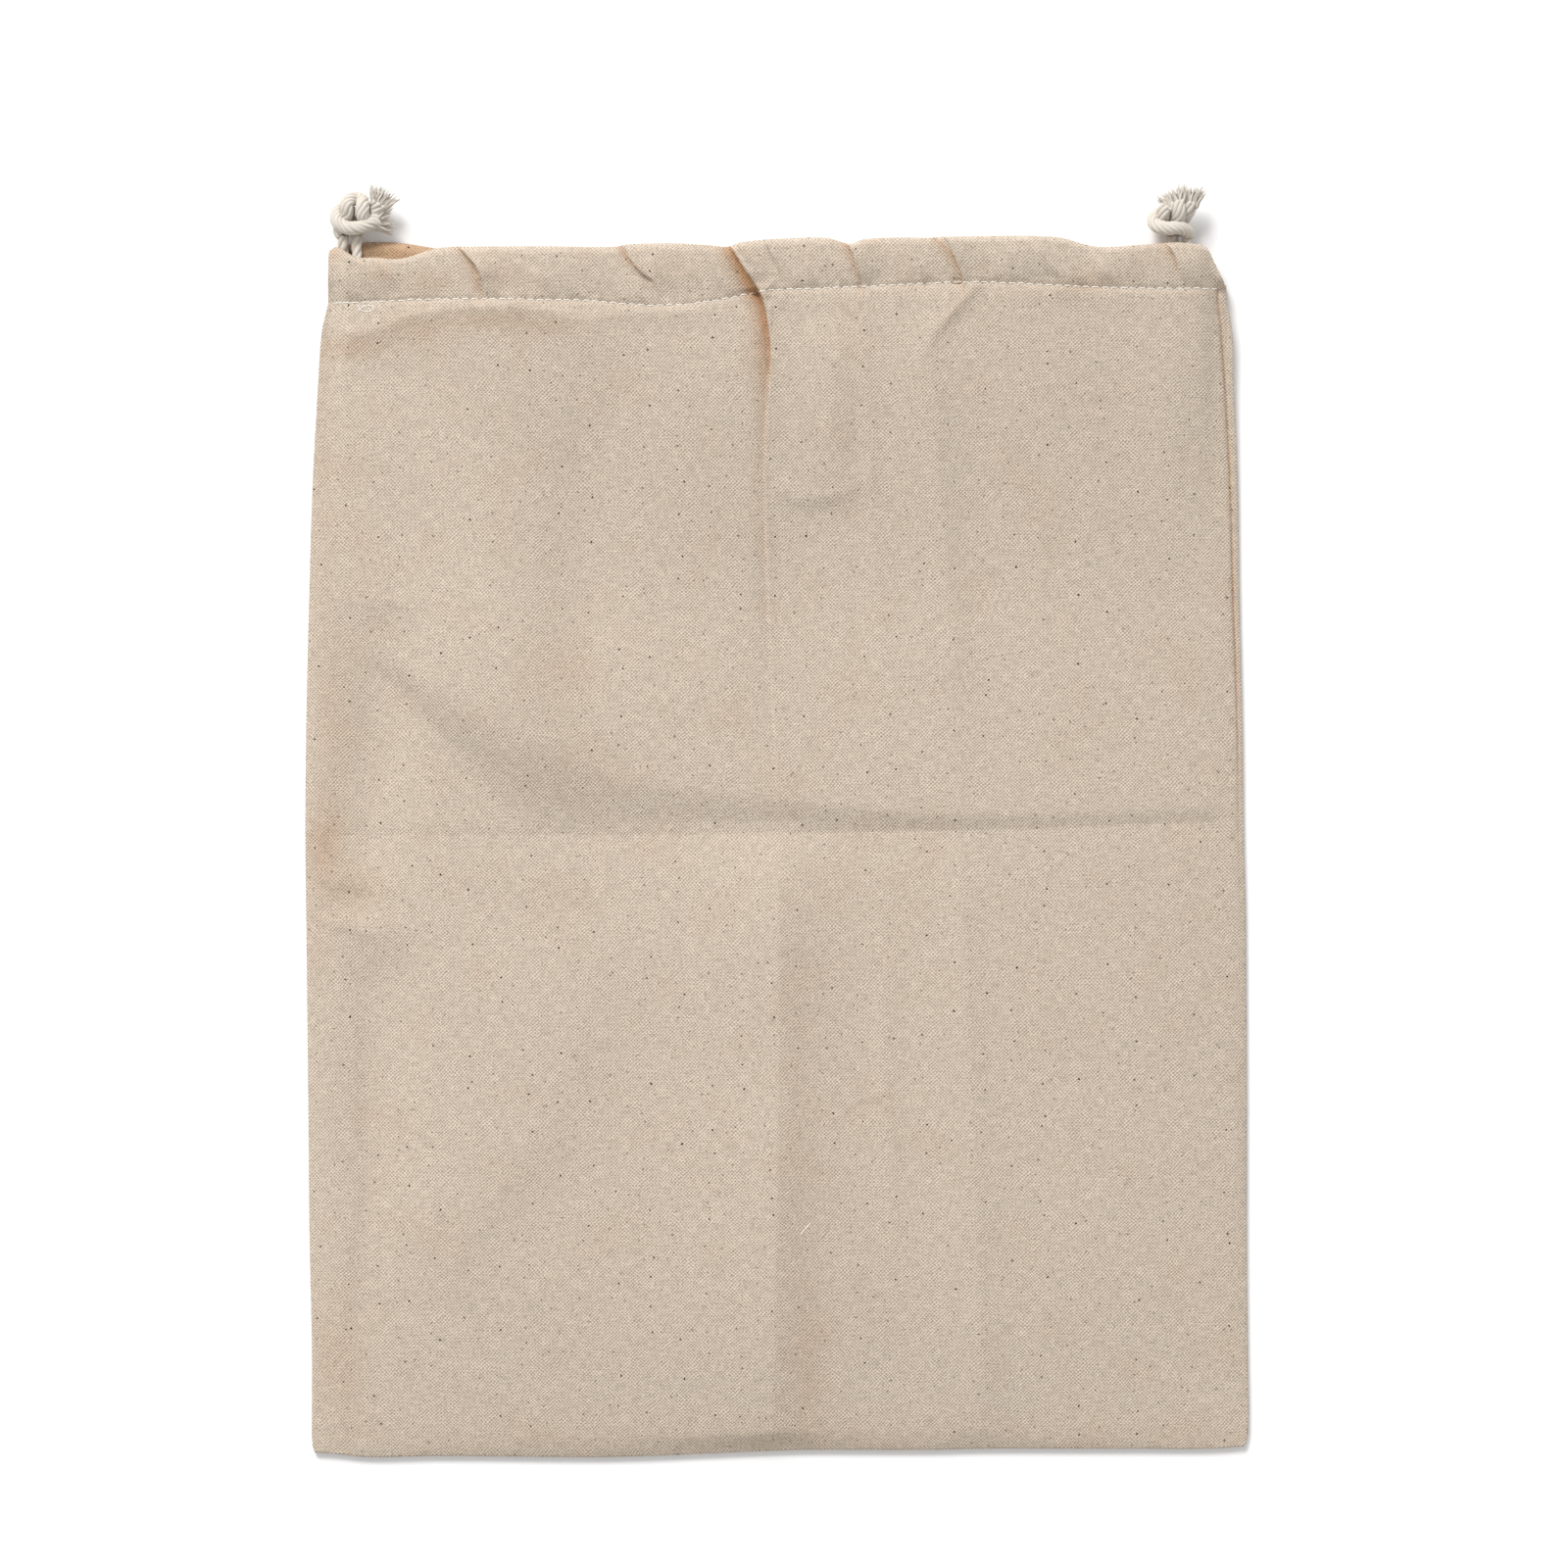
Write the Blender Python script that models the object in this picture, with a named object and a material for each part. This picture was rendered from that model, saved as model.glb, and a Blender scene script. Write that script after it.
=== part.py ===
"""A drawstring bag of natural cotton, lying flat on its back with the mouth towards +Y.

Units are metres, +Z is up, and the origin lies under the middle of the bag, on the surface that it rests on.
The body is one pouch of cloth. A casing along each side of the mouth holds both cords, and each cord
makes one loop round the mouth, leaves at its own corner and ends in an overhand knot.
"""

import math

import bpy
from mathutils import Vector

# Cloth
BAG_WIDTH = 0.3560
BAG_HEIGHT = 0.4634
CLOTH = 0.0010
SEAM_EDGE = 0.0024
SEAM_ALLOWANCE = 0.0075
BODY_LOFT = 0.0060
SHOULDER = 0.0300
MOUTH_RUN = 0.0700
CREASE_WIDTH = 0.0130
SECOND_CREASE_WIDTH = 0.6 * CREASE_WIDTH
CREASE_DEPTH = 0.0012
CREASE_SHARPNESS = 1.5
GROOVE_DEPTH = 0.0009
EDGE_INSET = 0.35 * SEAM_EDGE
BOTTOM_ROUNDING = 0.4

# Casing and mouth
CASING_DEPTH = 0.0223
MOUTH_GAP = 0.0046
CORNER_GAP = 0.0006
MOUTH_END = 0.90
MOUTH_END_RUN = 0.42
STITCH_DIP = 0.0012
CASING_PUCKER = 0.0011
PUCKER_AT_STITCH = 0.15
INNER_HEM = 1.2 * CLOTH
INNER_FOLD = 1.3 * CLOTH
CORNER_RUN = 0.0080
CORNER_DROP = 0.0030

# Cords
CORD_DIAMETER = 0.0042
CORD_CLEARANCE = 0.0003
KNOT_CORD_DIAMETER = 0.0054
CORD_BEND_RADIUS = 0.0050
CORD_STEP = 0.0126
CORD_RING_STEPS = 2
BEND_STEPS = 5
TURN_STEPS = 8
NECK_STEPS = 3
LEFT_KNOT_DROP = 0.0004
RIGHT_KNOT_DROP = 0.0008
KNOT_STEPS = 3
KNOT_VOXEL = 0.16 * KNOT_CORD_DIAMETER
KNOT_KEPT_SHARE = 0.22
PIECE_GAP = 0.0003

# Finishes
CLOTH_COLOR = (0.62, 0.53, 0.43)
CLOTH_ROUGHNESS = 0.92
CORD_COLOR = (0.66, 0.59, 0.50)
CORD_ROUGHNESS = 0.90

# Worked out from the sizes above
HALF_WIDTH = BAG_WIDTH / 2
BOTTOM_Y = -0.502 * BAG_HEIGHT
TOP_Y = BOTTOM_Y + BAG_HEIGHT
STITCH_Y = TOP_Y - CASING_DEPTH
TUNNEL_HEIGHT = CORD_DIAMETER + 2 * CORD_CLEARANCE + 2 * CLOTH
STITCHED_HALF = 1.1 * CLOTH
BACK_CORD_Z = TUNNEL_HEIGHT / 2
BACK_FOLD_Z = 0.3 * TUNNEL_HEIGHT
KNOT_Z = 1.25 * KNOT_CORD_DIAMETER

# Side edges and the lines that run up the cloth. Columns: height as a share of BAG_HEIGHT, then the
# distance from the middle as shares of HALF_WIDTH for the left edge, the middle crease, the second
# crease, the groove where the back's cloth rolls round to the front, and the right edge.
UP_LINES = (
    (0.000, -0.985, -0.010, 0.440, 0.972, 0.982),
    (0.010, -0.991, -0.010, 0.440, 0.988, 0.998),
    (0.025, -0.992, -0.009, 0.440, 0.993, 1.004),
    (0.090, -0.992, -0.007, 0.434, 0.992, 1.002),
    (0.180, -0.997, -0.001, 0.424, 0.991, 1.000),
    (0.300, -1.000, 0.004, 0.413, 0.991, 1.000),
    (0.440, -1.004, 0.000, 0.402, 0.988, 0.998),
    (0.508, -1.006, 0.000, 0.391, 0.985, 0.994),
    (0.600, -1.004, 0.000, 0.386, 0.982, 0.991),
    (0.700, -0.998, -0.016, 0.370, 0.973, 0.985),
    (0.800, -0.990, -0.027, 0.350, 0.966, 0.981),
    (0.880, -0.978, -0.024, 0.332, 0.954, 0.972),
    (0.920, -0.970, -0.014, 0.326, 0.946, 0.969),
    (0.944, -0.956, -0.022, 0.324, 0.938, 0.957),
)
LEFT_EDGE, MIDDLE_CREASE, SECOND_CREASE, GROOVE, RIGHT_EDGE = range(1, 6)

# Bottom fold, cross crease and stitch line. Columns: distance from the middle as a share of HALF_WIDTH,
# the bottom fold's rise and the cross crease's height as shares of BAG_HEIGHT, and the stitch line's
# rise as a share of CASING_DEPTH.
ACROSS_LINES = (
    (-1.00, 0.003, 0.509, -0.18),
    (-0.95, 0.002, 0.509, -0.18),
    (-0.87, -0.001, 0.509, -0.17),
    (-0.72, 0.000, 0.509, -0.13),
    (-0.40, -0.001, 0.510, -0.16),
    (-0.27, 0.000, 0.510, -0.24),
    (-0.15, 0.002, 0.510, -0.18),
    (-0.02, 0.004, 0.510, 0.01),
    (0.06, 0.005, 0.511, 0.04),
    (0.20, 0.005, 0.512, 0.08),
    (0.32, 0.005, 0.513, 0.13),
    (0.45, 0.006, 0.514, 0.15),
    (0.62, 0.006, 0.515, 0.09),
    (0.76, 0.006, 0.518, 0.06),
    (0.92, 0.006, 0.520, 0.06),
    (1.00, 0.008, 0.520, 0.06),
)
BOTTOM_RISE, CROSS_CREASE, STITCH_RISE = range(1, 4)

# Lift of each crease along its length, as a share of CREASE_DEPTH: above 0 a ridge, below 0 a valley.
# Columns: height as a share of BAG_HEIGHT, then the middle crease, the second crease and the groove.
CREASE_LIFT = (
    (0.00, 1.0, 0.2, 0.0),
    (0.20, 1.3, 0.4, -0.1),
    (0.45, 1.0, 0.5, -0.3),
    (0.51, -0.2, 0.4, -0.5),
    (0.62, -0.7, 0.5, -0.7),
    (0.75, -1.0, 0.6, -0.9),
    (0.90, -1.4, 0.7, -1.0),
    (0.95, -1.0, 0.3, -1.0),
)
MIDDLE_LIFT, SECOND_LIFT, GROOVE_LIFT = range(1, 4)
CROSS_LIFT = -1.1

# Soft hills and hollows of the front. Columns: place across and up as shares of HALF_WIDTH and
# BAG_HEIGHT, reach across and up as the same shares, and lift as a share of BODY_LOFT.
BILLOWS = (
    (-0.35, 0.660, 0.36, 0.110, 0.26),
    (-0.80, 0.560, 0.16, 0.070, -0.16),
    (-0.62, 0.350, 0.30, 0.110, 0.16),
    (-0.25, 0.240, 0.16, 0.090, -0.12),
    (0.10, 0.835, 0.13, 0.050, 0.14),
    (0.55, 0.700, 0.30, 0.120, 0.14),
    (0.30, 0.300, 0.26, 0.120, 0.10),
    (-0.90, 0.430, 0.07, 0.030, 0.14),
    (-0.60, 0.060, 0.35, 0.040, -0.12),
)

# Lines up both casings, from the left corner to the right one: the ridges and valleys where the cloth is
# gathered on the cords. The body's columns start from the same places. Columns: place at the mouth and at
# the stitch line as shares of HALF_WIDTH, drop of the front's edge at the mouth as a share of
# CASING_DEPTH, the front's lift as a share of CASING_PUCKER, and drop of the back's edge.
CASING_LINES = (
    (-0.953, -0.956, 0.23, 0.0, 0.24),
    (-0.935, -0.945, 0.17, 0.7, 0.18),
    (-0.900, -0.925, 0.24, 0.1, 0.12),
    (-0.850, -0.880, 0.28, 0.4, 0.09),
    (-0.800, -0.820, 0.30, 0.0, 0.11),
    (-0.725, -0.740, 0.18, 0.2, 0.20),
    (-0.682, -0.640, 0.18, 0.1, 0.23),
    (-0.660, -0.605, 0.18, 0.9, 0.25),
    (-0.500, -0.450, 0.18, 0.2, 0.25),
    (-0.345, -0.290, 0.19, 0.0, 0.25),
    (-0.318, -0.250, 0.15, 0.8, 0.25),
    (-0.220, -0.150, 0.13, 0.2, 0.25),
    (-0.150, -0.075, 0.16, 0.5, 0.25),
    (-0.104, -0.022, 0.19, 0.0, 0.20),
    (-0.080, 0.010, 0.12, 1.2, 0.18),
    (-0.010, 0.060, 0.06, 0.4, 0.16),
    (0.105, 0.125, 0.04, 0.6, 0.14),
    (0.155, 0.180, 0.14, 0.0, 0.12),
    (0.185, 0.215, 0.06, 0.9, 0.10),
    (0.290, 0.324, 0.03, 0.3, 0.08),
    (0.320, 0.375, 0.04, 0.0, 0.08),
    (0.350, 0.410, 0.02, 1.1, 0.08),
    (0.520, 0.535, 0.04, 0.5, 0.10),
    (0.678, 0.700, 0.18, 0.1, 0.20),
    (0.780, 0.800, 0.14, 0.5, 0.18),
    (0.845, 0.870, 0.10, 0.0, 0.16),
    (0.880, 0.910, 0.12, 0.5, 0.20),
    (0.915, 0.938, 0.20, 0.2, 0.28),
    (0.937, 0.957, 0.56, 0.0, 0.48),
)
AT_MOUTH, AT_STITCH, FRONT_DROP, LIFT, BACK_DROP = range(5)

# Section across a casing, from its stitch line to the fold at the mouth. Columns: share of the way to the
# fold, and share of the tunnel's half height that is above the stitched thickness.
CASING_SECTION = (
    (0.00, 0.00),
    (0.08, 0.40),
    (0.17, 0.82),
    (0.26, 1.00),
    (0.75, 1.00),
    (0.86, 0.78),
    (0.94, 0.45),
)
LOWER_CORD = 0.37
UPPER_CORD = 0.64

# Where the cords leave, as distances from the casing's ends, and where each cord turns back
LEFT_OUTER_NECK = 0.0052
LEFT_TURN = 0.0070
RIGHT_OUTER_NECK = 0.0115
NECK_SPACING = CORD_DIAMETER + 3 * CORD_CLEARANCE
WAY_OUT_MARGIN = 0.0010

# Rows of the body's mesh, as shares of the way from one line to the next
LOWER_ROWS = (0.0, 0.012, 0.06, 0.16, 0.30, 0.48, 0.66, 0.84, 0.96)
UPPER_ROWS = (0.0, 0.04, 0.15, 0.30, 0.45, 0.60, 0.74, 0.85, 0.94, 1.0)
RIM_SETBACK = 0.0008
PLACING_ROUNDS = 3

# Strands of the two knots, as points in cord diameters: across from the middle of the neck, out from the
# mouth, and up from KNOT_Z.
LEFT_KNOT_STRANDS = (
    ((-0.50, 0.00, 0.0), (-0.45, 0.55, 0.1), (0.00, 1.00, -0.5), (0.90, 1.25, -0.65), (1.75, 0.95, -0.1),
     (1.60, 0.85, 0.55), (0.60, 1.05, 0.95), (-0.35, 1.55, 0.80), (-0.35, 2.20, 0.2), (0.30, 2.55, -0.1),
     (1.00, 2.30, 0.35), (1.60, 2.45, 0.45), (2.30, 2.80, 0.3), (2.95, 2.75, 0.1)),
    ((0.50, 0.00, 0.0), (0.55, 0.60, -0.1), (0.20, 1.60, -0.6), (0.60, 2.50, -0.5), (1.30, 2.60, 0.1),
     (1.25, 1.90, 0.7), (1.40, 1.30, 0.55), (2.10, 1.05, 0.1), (2.80, 1.30, -0.1), (3.40, 1.60, -0.2)),
)
RIGHT_KNOT_STRANDS = (
    ((0.50, 0.00, 0.0), (0.55, 0.55, 0.1), (0.10, 0.95, 0.75), (-0.90, 1.10, 0.75), (-1.75, 1.15, 0.0),
     (-1.30, 1.30, -0.6), (0.10, 1.30, -0.7), (1.00, 1.60, -0.2), (1.15, 2.60, 0.1), (0.75, 3.55, 0.2),
     (-0.10, 3.80, 0.1), (-0.70, 3.55, 0.0), (-1.05, 3.10, -0.1)),
    ((-0.50, 0.00, 0.0), (-0.55, 0.50, -0.1), (-1.00, 1.20, 0.1), (-1.20, 2.00, 0.35), (-0.60, 2.30, 0.5),
     (0.20, 1.90, 0.5), (0.45, 2.50, 0.4), (0.35, 3.20, 0.3), (0.10, 3.90, 0.1), (-0.60, 4.10, 0.0)),
)


def ease(share):
    """A smooth step from 0 to 1."""
    held = min(1.0, max(0.0, share))
    return held * held * (3 - 2 * held)


def mix(start, end, share):
    return start + (end - start) * share


def read_table(table, place, column):
    """One column of a table at a place in its first column, along a smooth curve through the rows."""
    last = len(table) - 1
    if place <= table[0][0]:
        return table[0][column]
    if place >= table[last][0]:
        return table[last][column]
    row = next(index for index in range(last) if place <= table[index + 1][0])

    def slope(index):
        low = max(0, index - 1)
        high = min(last, index + 1)
        return (table[high][column] - table[low][column]) / (table[high][0] - table[low][0])

    run = table[row + 1][0] - table[row][0]
    share = (place - table[row][0]) / run
    rise = table[row + 1][column] - table[row][column]
    start_bend = slope(row) * run - rise
    end_bend = rise - slope(row + 1) * run
    curve = start_bend * (1 - share) + end_bend * share
    return table[row][column] + rise * share + share * (1 - share) * curve


def line_x(height_share, line):
    return HALF_WIDTH * read_table(UP_LINES, height_share, line)


def height_share_at(y):
    return (y - BOTTOM_Y) / BAG_HEIGHT


def bottom_y(x):
    return BOTTOM_Y + BAG_HEIGHT * read_table(ACROSS_LINES, x / HALF_WIDTH, BOTTOM_RISE)


def cross_crease_y(x):
    return BOTTOM_Y + BAG_HEIGHT * read_table(ACROSS_LINES, x / HALF_WIDTH, CROSS_CREASE)


def stitch_y(x):
    return STITCH_Y + CASING_DEPTH * read_table(ACROSS_LINES, x / HALF_WIDTH, STITCH_RISE)


def mouth_height(x):
    """Height of the front casing's middle over the cords."""
    opening = ease((MOUTH_END - abs(x) / HALF_WIDTH) / MOUTH_END_RUN)
    return 1.5 * TUNNEL_HEIGHT + mix(CORNER_GAP, MOUTH_GAP, opening)


def side_share(x, height_share):
    """0 on the side edges, and 1 where the cloth has risen to its full height."""
    inside = min(x - line_x(height_share, LEFT_EDGE), line_x(height_share, RIGHT_EDGE) - x)
    return ease(inside / SHOULDER)


def stitched_height(x):
    """Height of the front casing's middle at the stitch line."""
    low = SEAM_EDGE - STITCHED_HALF
    return mix(low, mouth_height(x) - STITCH_DIP, side_share(x, height_share_at(stitch_y(x))))


def crease_lift(x, y, height_share):
    """How far the creases raise or lower the front."""
    lift = 0.0
    for column, line, width in ((MIDDLE_LIFT, MIDDLE_CREASE, CREASE_WIDTH),
                                (SECOND_LIFT, SECOND_CREASE, SECOND_CREASE_WIDTH)):
        reach = max(0.0, 1 - abs(x - line_x(height_share, line)) / width)
        lift += CREASE_DEPTH * read_table(CREASE_LIFT, height_share, column) * reach ** CREASE_SHARPNESS
    reach = max(0.0, 1 - abs(y - cross_crease_y(x)) / CREASE_WIDTH)
    lift += CREASE_DEPTH * CROSS_LIFT * reach ** CREASE_SHARPNESS * side_share(x, height_share)
    groove = max(0.0, 1 - abs(x - line_x(height_share, GROOVE)) / SEAM_EDGE)
    return lift + GROOVE_DEPTH * read_table(CREASE_LIFT, height_share, GROOVE_LIFT) * groove


def billow_lift(x, height_share):
    """How far the soft hills and hollows raise or lower the front."""
    lift = 0.0
    for across, up, reach_across, reach_up, share in BILLOWS:
        far = ((x / HALF_WIDTH - across) / reach_across) ** 2 + ((height_share - up) / reach_up) ** 2
        lift += BODY_LOFT * share * math.exp(-far)
    return lift


def front_z(x, y):
    """Height of the front's outer face over the surface that the bag lies on."""
    height_share = height_share_at(y)
    rise = side_share(x, height_share)
    up_from_fold = ease((y - bottom_y(x)) / SHOULDER)
    loft = (BODY_LOFT + billow_lift(x, height_share)) * rise * up_from_fold
    near_mouth = ease((y - stitch_y(x) + MOUTH_RUN) / MOUTH_RUN)
    body = SEAM_EDGE + loft
    return mix(body, stitched_height(x) + STITCHED_HALF, near_mouth) + crease_lift(x, y, height_share)


def fabric_material(name, color, roughness):
    material = bpy.data.materials.new(name)
    material.use_nodes = True
    shader = material.node_tree.nodes["Principled BSDF"]
    shader.inputs["Base Color"].default_value = (*color, 1.0)
    shader.inputs["Roughness"].default_value = roughness
    shader.inputs["Metallic"].default_value = 0.0
    return material


def add_mesh(name, vertices, faces, material):
    mesh = bpy.data.meshes.new(name)
    mesh.from_pydata(vertices, [], faces)
    mesh.update()
    piece = bpy.data.objects.new(name, mesh)
    mesh.materials.append(material)
    bpy.context.scene.collection.objects.link(piece)
    mesh.shade_smooth()
    return piece


def wall_between_loops(outer, inner):
    """A closed skin from rows of outer points and rows of inner points, each row a ring."""
    count = len(outer[0])
    vertices = []
    faces = []
    for row in outer + inner:
        vertices.extend(row)
    inner_start = len(outer) * count

    def corner(start, row, place):
        return start + row * count + place % count

    for row in range(len(outer) - 1):
        for place in range(count):
            faces.append((corner(0, row, place), corner(0, row, place + 1),
                          corner(0, row + 1, place + 1), corner(0, row + 1, place)))
            faces.append((corner(inner_start, row, place), corner(inner_start, row + 1, place),
                          corner(inner_start, row + 1, place + 1), corner(inner_start, row, place + 1)))
    return vertices, faces, corner, inner_start


def body_columns():
    """Lines up the body as (line on the left, line on the right, share), one from each casing line."""
    top = UP_LINES[-1]
    columns = []
    for casing_line in CASING_LINES:
        place = casing_line[AT_STITCH]
        first = LEFT_EDGE
        while first < GROOVE and place > top[first + 1]:
            first += 1
        columns.append((first, first + 1, (place - top[first]) / (top[first + 1] - top[first])))
    return columns


def body_rows():
    """Places up the body as (height at the bottom fold, cross crease or stitch line, share)."""
    rows = [(bottom_y, cross_crease_y, share) for share in LOWER_ROWS]
    return rows + [(cross_crease_y, body_top_y, share) for share in UPPER_ROWS]


def body_top_y(x):
    return stitch_y(x) - PIECE_GAP / 2


def body_point(column, row):
    """Place of one crossing of a column and a row, found in a few rounds from the middle of the bag."""
    first, second, share = column
    low, high, up = row
    x = mix(line_x(0.5, first), line_x(0.5, second), share)
    y = 0.0
    for _ in range(PLACING_ROUNDS):
        y = mix(low(x), high(x), up)
        height_share = height_share_at(y)
        x = mix(line_x(height_share, first), line_x(height_share, second), share)
    return x, y


def make_body(material):
    """The pouch: closed at both sides and along the bottom fold, and open at the stitch line."""
    columns = body_columns()
    rows = body_rows()
    outer = []
    inner = []
    for row in rows:
        points = [body_point(column, row) for column in columns]
        left = points[0]
        right = points[-1]
        front = []
        back = []
        front_inside = []
        back_inside = []
        for place, (x, y) in enumerate(points):
            if place == 0:
                x += EDGE_INSET
            if place == len(points) - 1:
                x -= EDGE_INSET
            front.append((x, y, front_z(x, y)))
            back.append((x, y, 0.0))
            share = (x - left[0]) / (right[0] - left[0])
            inside_x = mix(left[0] + SEAM_ALLOWANCE, right[0] - SEAM_ALLOWANCE, share)
            low = bottom_y(inside_x) + SEAM_EDGE
            up = (y - bottom_y(x)) / (body_top_y(x) - bottom_y(x))
            inside_y = mix(low, body_top_y(inside_x) - RIM_SETBACK, up)
            front_inside.append((inside_x, inside_y, front_z(inside_x, inside_y) - CLOTH))
            back_inside.append((inside_x, inside_y, CLOTH))
        middle_z = SEAM_EDGE / 2
        outer.append(front + [(right[0], right[1], middle_z)] + back[::-1] + [(left[0], left[1], middle_z)])
        right_end = [(front_inside[-1][0] + CLOTH / 2, front_inside[-1][1], middle_z)]
        left_end = [(front_inside[0][0] - CLOTH / 2, front_inside[0][1], middle_z)]
        inner.append(front_inside + right_end + back_inside[::-1] + left_end)
    count = len(columns)
    outer[0] = fold_row(outer[0])
    vertices, faces, corner, inner_start = wall_between_loops(outer, inner)
    loop = len(outer[0])
    top = len(rows) - 1
    for place in range(loop):
        faces.append((corner(0, top, place), corner(0, top, place + 1),
                      corner(inner_start, top, place + 1), corner(inner_start, top, place)))
    close_row(faces, lambda place: corner(0, 0, place), count, loop, False)
    close_row(faces, lambda place: corner(inner_start, 0, place), count, loop, True)
    return add_mesh("bag_body", vertices, faces, material)


def fold_row(row):
    """The outer ring at the bottom fold, with its faces drawn in a little so that the fold is round."""
    middle_z = SEAM_EDGE / 2
    return [(x, y, mix(z, middle_z, BOTTOM_ROUNDING)) for x, y, z in row]


def close_row(faces, corner, count, loop, flipped):
    """Joins the front half of a ring to its back half, which closes the pouch along a line."""
    for place in range(count - 1):
        opposite = loop - 2 - place
        quad = (corner(place), corner(opposite), corner(opposite - 1), corner(place + 1))
        faces.append(quad[::-1] if flipped else quad)
    ends = ((corner(count - 1), corner(count + 1), corner(count)), (corner(0), corner(loop - 1), corner(loop - 2)))
    for triangle in ends:
        faces.append(triangle[::-1] if flipped else triangle)


def casing_section(inside):
    """Points round a casing as (way to the fold, side, half height, cut short): side 1 is the outer cloth."""
    full = TUNNEL_HEIGHT / 2 - STITCHED_HALF
    wall = CLOTH if inside else 0.0
    hem = INNER_HEM if inside else 0.0
    outer_side = []
    for way, share in CASING_SECTION:
        half = STITCHED_HALF + full * share - wall
        outer_side.append((max(way * CASING_DEPTH, hem), 1, half, False))
    inner_side = [(depth, -1, half, True) for depth, _, half, _ in outer_side]
    fold = (CASING_DEPTH - (INNER_FOLD if inside else 0.0), 0, 0.0, True)
    return outer_side + [fold] + inner_side[::-1]


def drop_column(front):
    return FRONT_DROP if front else BACK_DROP


def left_way_out():
    """Distance from the left end at which the casing's inner cloth stops."""
    return LEFT_OUTER_NECK + NECK_SPACING + CORD_BEND_RADIUS + WAY_OUT_MARGIN


def right_way_out():
    """Distance from the right end at which the casing's inner cloth stops."""
    turn = (mouth_height(HALF_WIDTH) - BACK_CORD_Z) / 2
    return RIGHT_OUTER_NECK + 2 * NECK_SPACING + turn + WAY_OUT_MARGIN


def casing_ring(line, inside, front):
    """One ring of points round a casing, at one of its lines."""
    left_end = HALF_WIDTH * CASING_LINES[0][AT_MOUTH]
    right_end = HALF_WIDTH * CASING_LINES[-1][AT_MOUTH]
    ring = []
    for depth, side, half, cut_short in casing_section(inside):
        way = depth / CASING_DEPTH
        x = HALF_WIDTH * mix(line[AT_STITCH], line[AT_MOUTH], way)
        if cut_short:
            along = min(1.0, max(0.0, (x - left_end) / (right_end - left_end)))
            x = mix(left_end + left_way_out(), right_end - right_way_out(), along)
        setback = PIECE_GAP / 2 + (RIM_SETBACK if cut_short else 0.0)
        y = casing_y(x, way, front) + setback * (1 - way)
        if front:
            middle = mix(stitched_height(x), corner_height(x), ease(way / CASING_SECTION[3][0]))
            turn = math.pi * mix(PUCKER_AT_STITCH, 1.0, way)
            pucker = CASING_PUCKER * line[LIFT] * math.sin(turn)
            z = middle + side * half + (pucker if side == 1 else 0.0)
        elif side == 0:
            z = BACK_FOLD_Z
        else:
            z = half + (CLOTH if inside else 0.0) - side * half
        ring.append((x, y, z))
    return ring


def corner_height(x):
    """Height of the front casing's middle over the cords, drooping at its ends."""
    left = x - HALF_WIDTH * CASING_LINES[0][AT_MOUTH]
    right = HALF_WIDTH * CASING_LINES[-1][AT_MOUTH] - x
    droop = 1 - ease(min(left, right) / CORNER_RUN)
    return mouth_height(x) - CORNER_DROP * droop


def make_casing(name, front, material):
    """The top of the cloth, folded over the cords: a flat tunnel that is open at both ends."""
    outer = [casing_ring(line, False, front) for line in CASING_LINES]
    inner = [casing_ring(line, True, front) for line in CASING_LINES]
    vertices, faces, corner, inner_start = wall_between_loops(outer, inner)
    count = len(outer[0])
    last = len(outer) - 1
    for place in range(count):
        faces.append((corner(0, 0, place + 1), corner(0, 0, place),
                      corner(inner_start, 0, place), corner(inner_start, 0, place + 1)))
        faces.append((corner(0, last, place), corner(0, last, place + 1),
                      corner(inner_start, last, place + 1), corner(inner_start, last, place)))
    if front:
        faces = [face[::-1] for face in faces]
    return add_mesh(name, vertices, faces, material)


def casing_y(x, way, front):
    """A place in a casing, by its share of the way from the stitch line to the mouth's edge."""
    drop = read_table(CASING_LINES, x / HALF_WIDTH, drop_column(front))
    return mix(stitch_y(x), TOP_Y - drop * CASING_DEPTH, way)


def run_in_casing(start, end, way, front):
    """Points along one casing, from one x to another."""
    count = max(2, round(abs(end - start) / CORD_STEP))
    points = []
    for number in range(count + 1):
        x = mix(start, end, number / count)
        z = mouth_height(x) if front else BACK_CORD_Z
        points.append(Vector((x, casing_y(x, way, front), z)))
    return points


def turn_back(x, way, side):
    """The half turn from the front casing to the back one, inside the corner."""
    top = mouth_height(x)
    radius = (top - BACK_CORD_Z) / 2
    points = []
    for number in range(1, TURN_STEPS):
        share = number / TURN_STEPS
        angle = math.pi * share
        y = mix(casing_y(x, way, True), casing_y(x, way, False), share)
        points.append(Vector((x + side * radius * math.sin(angle), y,
                              BACK_CORD_Z + radius + radius * math.cos(angle))))
    return points


def bend_out(x_neck, way, side, front):
    """The quarter turn from a casing out of its corner, ending at the neck, below the knot."""
    start_x = x_neck - side * CORD_BEND_RADIUS
    z_start = mouth_height(start_x) if front else BACK_CORD_Z
    y = casing_y(start_x, way, front)
    points = []
    for number in range(1, BEND_STEPS + 1):
        angle = math.pi / 2 * number / BEND_STEPS
        points.append(Vector((start_x + side * CORD_BEND_RADIUS * math.sin(angle),
                              y + CORD_BEND_RADIUS * (1 - math.cos(angle)), z_start)))
    low = points[-1].y
    for number in range(1, NECK_STEPS + 1):
        points.append(Vector((x_neck, mix(low, neck_y(side), number / NECK_STEPS), z_start)))
    for number, point in enumerate(points):
        point.z = mix(z_start, KNOT_Z, ease((number + 1) / len(points)))
    return points


def neck_y(side):
    """Where the cords end and their knot begins."""
    return TOP_Y - (LEFT_KNOT_DROP if side < 0 else RIGHT_KNOT_DROP)


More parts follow.
